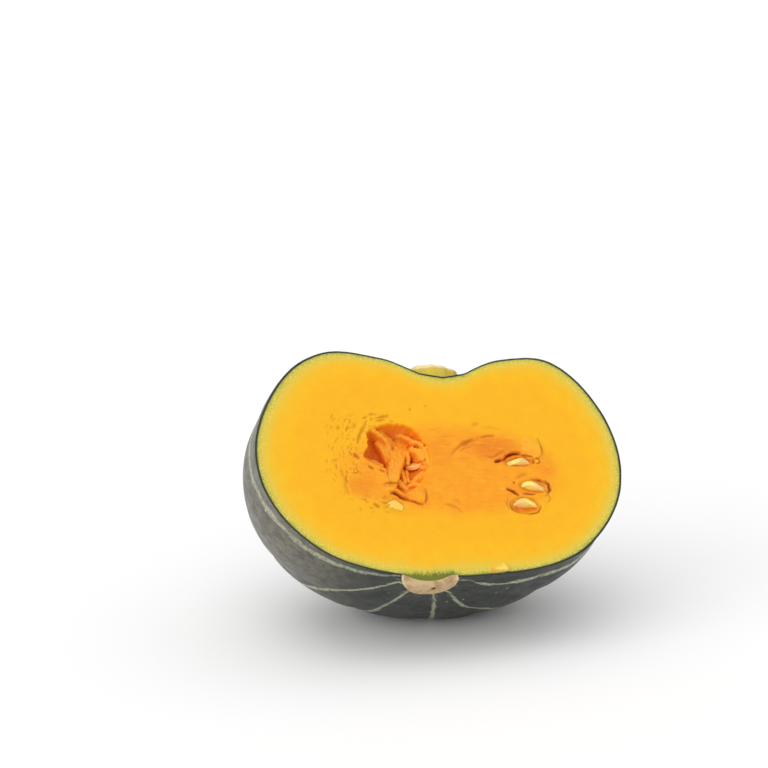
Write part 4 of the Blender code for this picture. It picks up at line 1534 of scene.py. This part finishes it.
@dataclass
class StemScar:
    """The corky scar: a low dome with a ragged rim, cut through by the knife."""

    middle: Pair = (-14.5, -4.0)
    # Its reach from there, by degrees from +X towards the back.
    reach: Knots = (
        (-90, 12.0), (-45, 12.2), (0, 12.8), (25, 14.1), (49, 15.4), (67, 15.8), (86, 15.0),
        (110, 13.2), (134, 12.2), (158, 12.8), (180, 14.0), (225, 13.0), (270, 12.0),
    )
    stands_out: float = 0.35
    let_in: float = 1.9
    rough: tuple[Pair, ...] = ((0.16, 2.6), (0.10, 0.9))
    seat_gap: float = 0.06
    around: int = 240
    rings: int = 110
    # The dark dot where the stem's core was.
    dot: Pair = (-13.6, -1.5)
    dot_reach: Pair = (1.05, 1.0)
    dot_ragged: Pair = (0.25, 0.6)

    def wide(self, bearing: float) -> float:
        """The scar's reach on a bearing, in radians."""
        return smooth_through(self.reach, round_from_front(math.degrees(bearing)))

    def dome(self, name: str, grown: float = 0.0) -> Thing:
        """The scar's body, or the seat that it fills.

        Args:
            name: The object's name.
            grown: How much bigger it is all round, in millimetres.

        Returns:
            The object, in the cut frame.
        """
        level = -FORM.radii[0][1]

        def place(old: Vector) -> Vector:
            """A point of a ball, moved to the dome."""
            bearing = math.atan2(old.y, old.x)
            down = way_down(-old.z)
            out = Vector((math.cos(bearing), math.sin(bearing), 0))
            wide = self.wide(bearing)
            wide *= 1 + 0.022 * noise.noise(out * 5) + 0.012 * noise.noise(out * 14)
            share = min(1.0, 2 * down, 2 * (1 - down))
            spot = Vector((*self.middle, level)) + out * (wide * share)
            face = FORM.stem_swell(spot).z
            if down > 0.5:
                return spot + Vector((0, 0, face + self.let_in + grown)) + out * grown
            rim = ease(0.90, 1.0, share)
            rough = lumpy(0.0, spot, *self.rough)
            ring = 0.14 * math.sin(share * 34 + 2 * noise.noise(spot / 4))
            high = self.stands_out + (rough + ring * 0.5) * (1 - rim) + 0.12
            high -= (self.stands_out + 0.25) * rim ** 2
            return spot + Vector((0, 0, face - high - 4 * grown)) + out * grown

        dome = closed_in(shaped_ball(name, self.around, self.rings, place))
        dome.data.transform(TO_CUT)
        return dome

    def seat(self) -> Thing:
        """What the scar takes out of the rind and the flesh."""
        return self.dome("seat", self.seat_gap)

    def values(self, at: Vector) -> Stored:
        """What the scar's finish reads at a point of it."""
        spot = FROM_CUT @ at
        across = lumpy(oval(spot.x, spot.y, self.dot, self.dot_reach), spot, self.dot_ragged)
        off = Vector((spot.x - self.middle[0], spot.y - self.middle[1], 0))
        rim = off.length / self.wide(math.atan2(off.y, off.x))
        return {
            "squash_mm": tuple(spot),
            "stain": 1 - ease(0.75, 1.15, across),
            "rim": ease(0.90, 0.97, rim),
        }

    def build(self, knife: Thing) -> None:
        """Builds and dresses the scar."""
        dome = self.dome("scar")
        carve(dome, knife, keep=True)
        store(dome, self.values)
        hand_over(dome, CorkFinish().material(), Slot.CORK, "stem_scar")


@dataclass
class FlowerButton:
    """The corky button at the flower end, a ragged knob with a dished top."""

    # Radius and height, from the middle of the top down to the middle of the foot.
    outline: Knots = (
        (0.0, 10.2), (5.5, 9.9), (10.4, 11.3), (13.0, 12.9), (14.5, 12.1), (15.2, 8.0),
        (15.8, 3.0), (16.4, 0.6), (16.8, -4.0), (0.0, -4.0),
    )
    # The outline's point at the crest.
    crest: int = 3
    right: float = 0.1
    forward: float = 3.5
    sunk: float = 1.2
    slope: float = 0.075
    front_to_back: float = 0.8
    uneven: float = 1.3
    lumps: float = 3.0
    turn: float = math.radians(4)
    # Heights between which the crest's and the foot's colours come in, and how wavy they are.
    crest_band: Pair = (10.0, 11.6)
    base_band: Pair = (3.6, -1.0)
    bands_wavy: Pair = (0.8, 1.3)
    around: int = 180
    rings: int = 120

    def build(self) -> None:
        """Builds and dresses the button."""
        middle = FORM.point(90, 0) + Vector((self.right, -self.forward, -self.sunk))
        widest = max(r for r, _ in self.outline)
        radii = [(i, r) for i, (r, _) in enumerate(self.outline)]
        heights = [(i, h) for i, (_, h) in enumerate(self.outline)]

        def place(old: Vector) -> Vector:
            """A point of a ball, moved to the knob."""
            down = way_down(old.z) * (len(self.outline) - 1)
            bearing = math.atan2(old.y, old.x)
            out = Vector((math.cos(bearing), math.sin(bearing), 0))
            wide, high = straight_through(radii, down), straight_through(heights, down)
            wide += self.uneven * noise.noise(out * self.lumps) * wide / widest
            ragged = 0.6 * noise.noise(out * 7) + 0.35 * noise.noise(out * 19)
            high += hump(down, self.crest, 0.9) * ragged
            ribs = 0.35 * noise.noise(Vector((out.x * 9, out.y * 9, high / 9)))
            wide += ribs if 2.5 < down < 7 else 0.0
            high -= self.slope * out.x * wide if high > 2 else 0.0
            spot = Vector((out.x * wide, out.y * wide * self.front_to_back, high))
            spot += spot.normalized() * 0.22 * noise.noise(spot / 1.5)
            return middle + Matrix.Rotation(self.turn, 3, "Z") @ spot

        def values(at: Vector) -> Stored:
            """What the button's finish reads at a point of it."""
            high = at.z - middle.z
            wavy = lumpy(high, at, self.bands_wavy)
            inside = 1 - ease(5.0, 9.0, oval(at.x, at.y, middle, (1, self.front_to_back)))
            return {
                "crest": ease(*self.crest_band, wavy),
                "base": ease(*self.base_band, wavy),
                "dish": inside if high > 8 else 0.0,
                "squash_mm": tuple(at),
            }

        knob = closed_in(shaped_ball("button", self.around, self.rings, place))
        store(knob, values)
        knob.data.transform(TO_CUT)
        hand_over(knob, ButtonFinish().material(), Slot.CORK)


@dataclass
class Studio:
    """The camera, a pale floor and soft lights."""

    azimuth: float = -18.641
    elevation: float = 14.34
    distance: float = 0.840
    lens: float = 85.0
    clip: float = 0.01
    aside: Pair = (-31.6, 45.0)
    floor_size: float = 60.0
    paper: Colour = (253, 253, 253)
    sky: float = 0.62
    # Name, place, spread in degrees and strength.
    lights: tuple[tuple[str, Triple, float, float], ...] = (
        ("key", (-0.60, -0.55, 0.95), 80, 0.98),
        ("top", (0.15, 0.25, 1.2), 90, 0.42),
        ("side", (-1.0, -0.25, 0.12), 60, 1.1),
    )

    def back(self) -> Vector:
        """The way from the squash to the camera."""
        az, el = math.radians(self.azimuth), math.radians(self.elevation)
        return Vector((math.sin(az) * math.cos(el), -math.cos(az) * math.cos(el), math.sin(el)))

    def hung(self, name: str, data: bpy.types.ID, at: Vector, back: Vector) -> Thing:
        """Hangs a camera or a light.

        Args:
            name: Its name.
            data: Its settings.
            at: Its place, in metres.
            back: The way from what it looks at to it.

        Returns:
            The object.
        """
        thing = bpy.data.objects.new(name, data)
        bpy.context.scene.collection.objects.link(thing)
        thing.location = at
        thing.rotation_euler = (-back).to_track_quat("-Z", "Y").to_euler()
        return thing

    def camera(self) -> None:
        """Puts the camera at the photograph's viewing angle."""
        back = self.back()
        right = Vector((0, 0, 1)).cross(back).normalized()
        up = back.cross(right)
        aim = (Vector(FORM.origin) + self.aside[0] * right + self.aside[1] * up) * MM
        data = bpy.data.cameras.new("camera")
        data.lens, data.clip_start = self.lens, self.clip
        bpy.context.scene.camera = self.hung("camera", data, aim + self.distance * back, back)

    def floor(self) -> None:
        """Lays the pale floor."""
        floor = primitive("floor", bpy.ops.mesh.primitive_plane_add, size=self.floor_size)
        paper = Wiring("floor_paper").dress(linear(self.paper), 1.0, {})
        floor.data.materials.append(paper)

    def build(self) -> None:
        """Sets up the camera, the floor, the sky and the lights."""
        self.camera()
        self.floor()
        world = bpy.data.worlds.new("studio")
        world.use_nodes = True
        sky = world.node_tree.nodes["Background"]
        sky.inputs["Color"].default_value = (1.0, 1.0, 1.0, 1.0)
        sky.inputs["Strength"].default_value = self.sky
        bpy.context.scene.world = world
        bpy.context.scene.view_settings.view_transform = "Standard"
        for name, at, spread, power in self.lights:
            data = bpy.data.lights.new(name, "SUN")
            data.angle = math.radians(spread)
            data.energy = power
            self.hung(name, data, Vector(at), Vector(at))


def main() -> None:
    """Builds the squash piece by piece and reports each one."""
    logging.basicConfig(level=logging.INFO, format="%(message)s")
    Studio().build()
    shape = Knife()
    knife = shape.block()
    rind = Rind()
    rind.build(knife)
    Flesh().build(rind, shape, knife)
    StemScar().build(knife)
    bpy.data.objects.remove(knife)
    FlowerButton().build()
    for seed in SEEDS:
        seed.build()


if __name__ == "__main__":
    main()
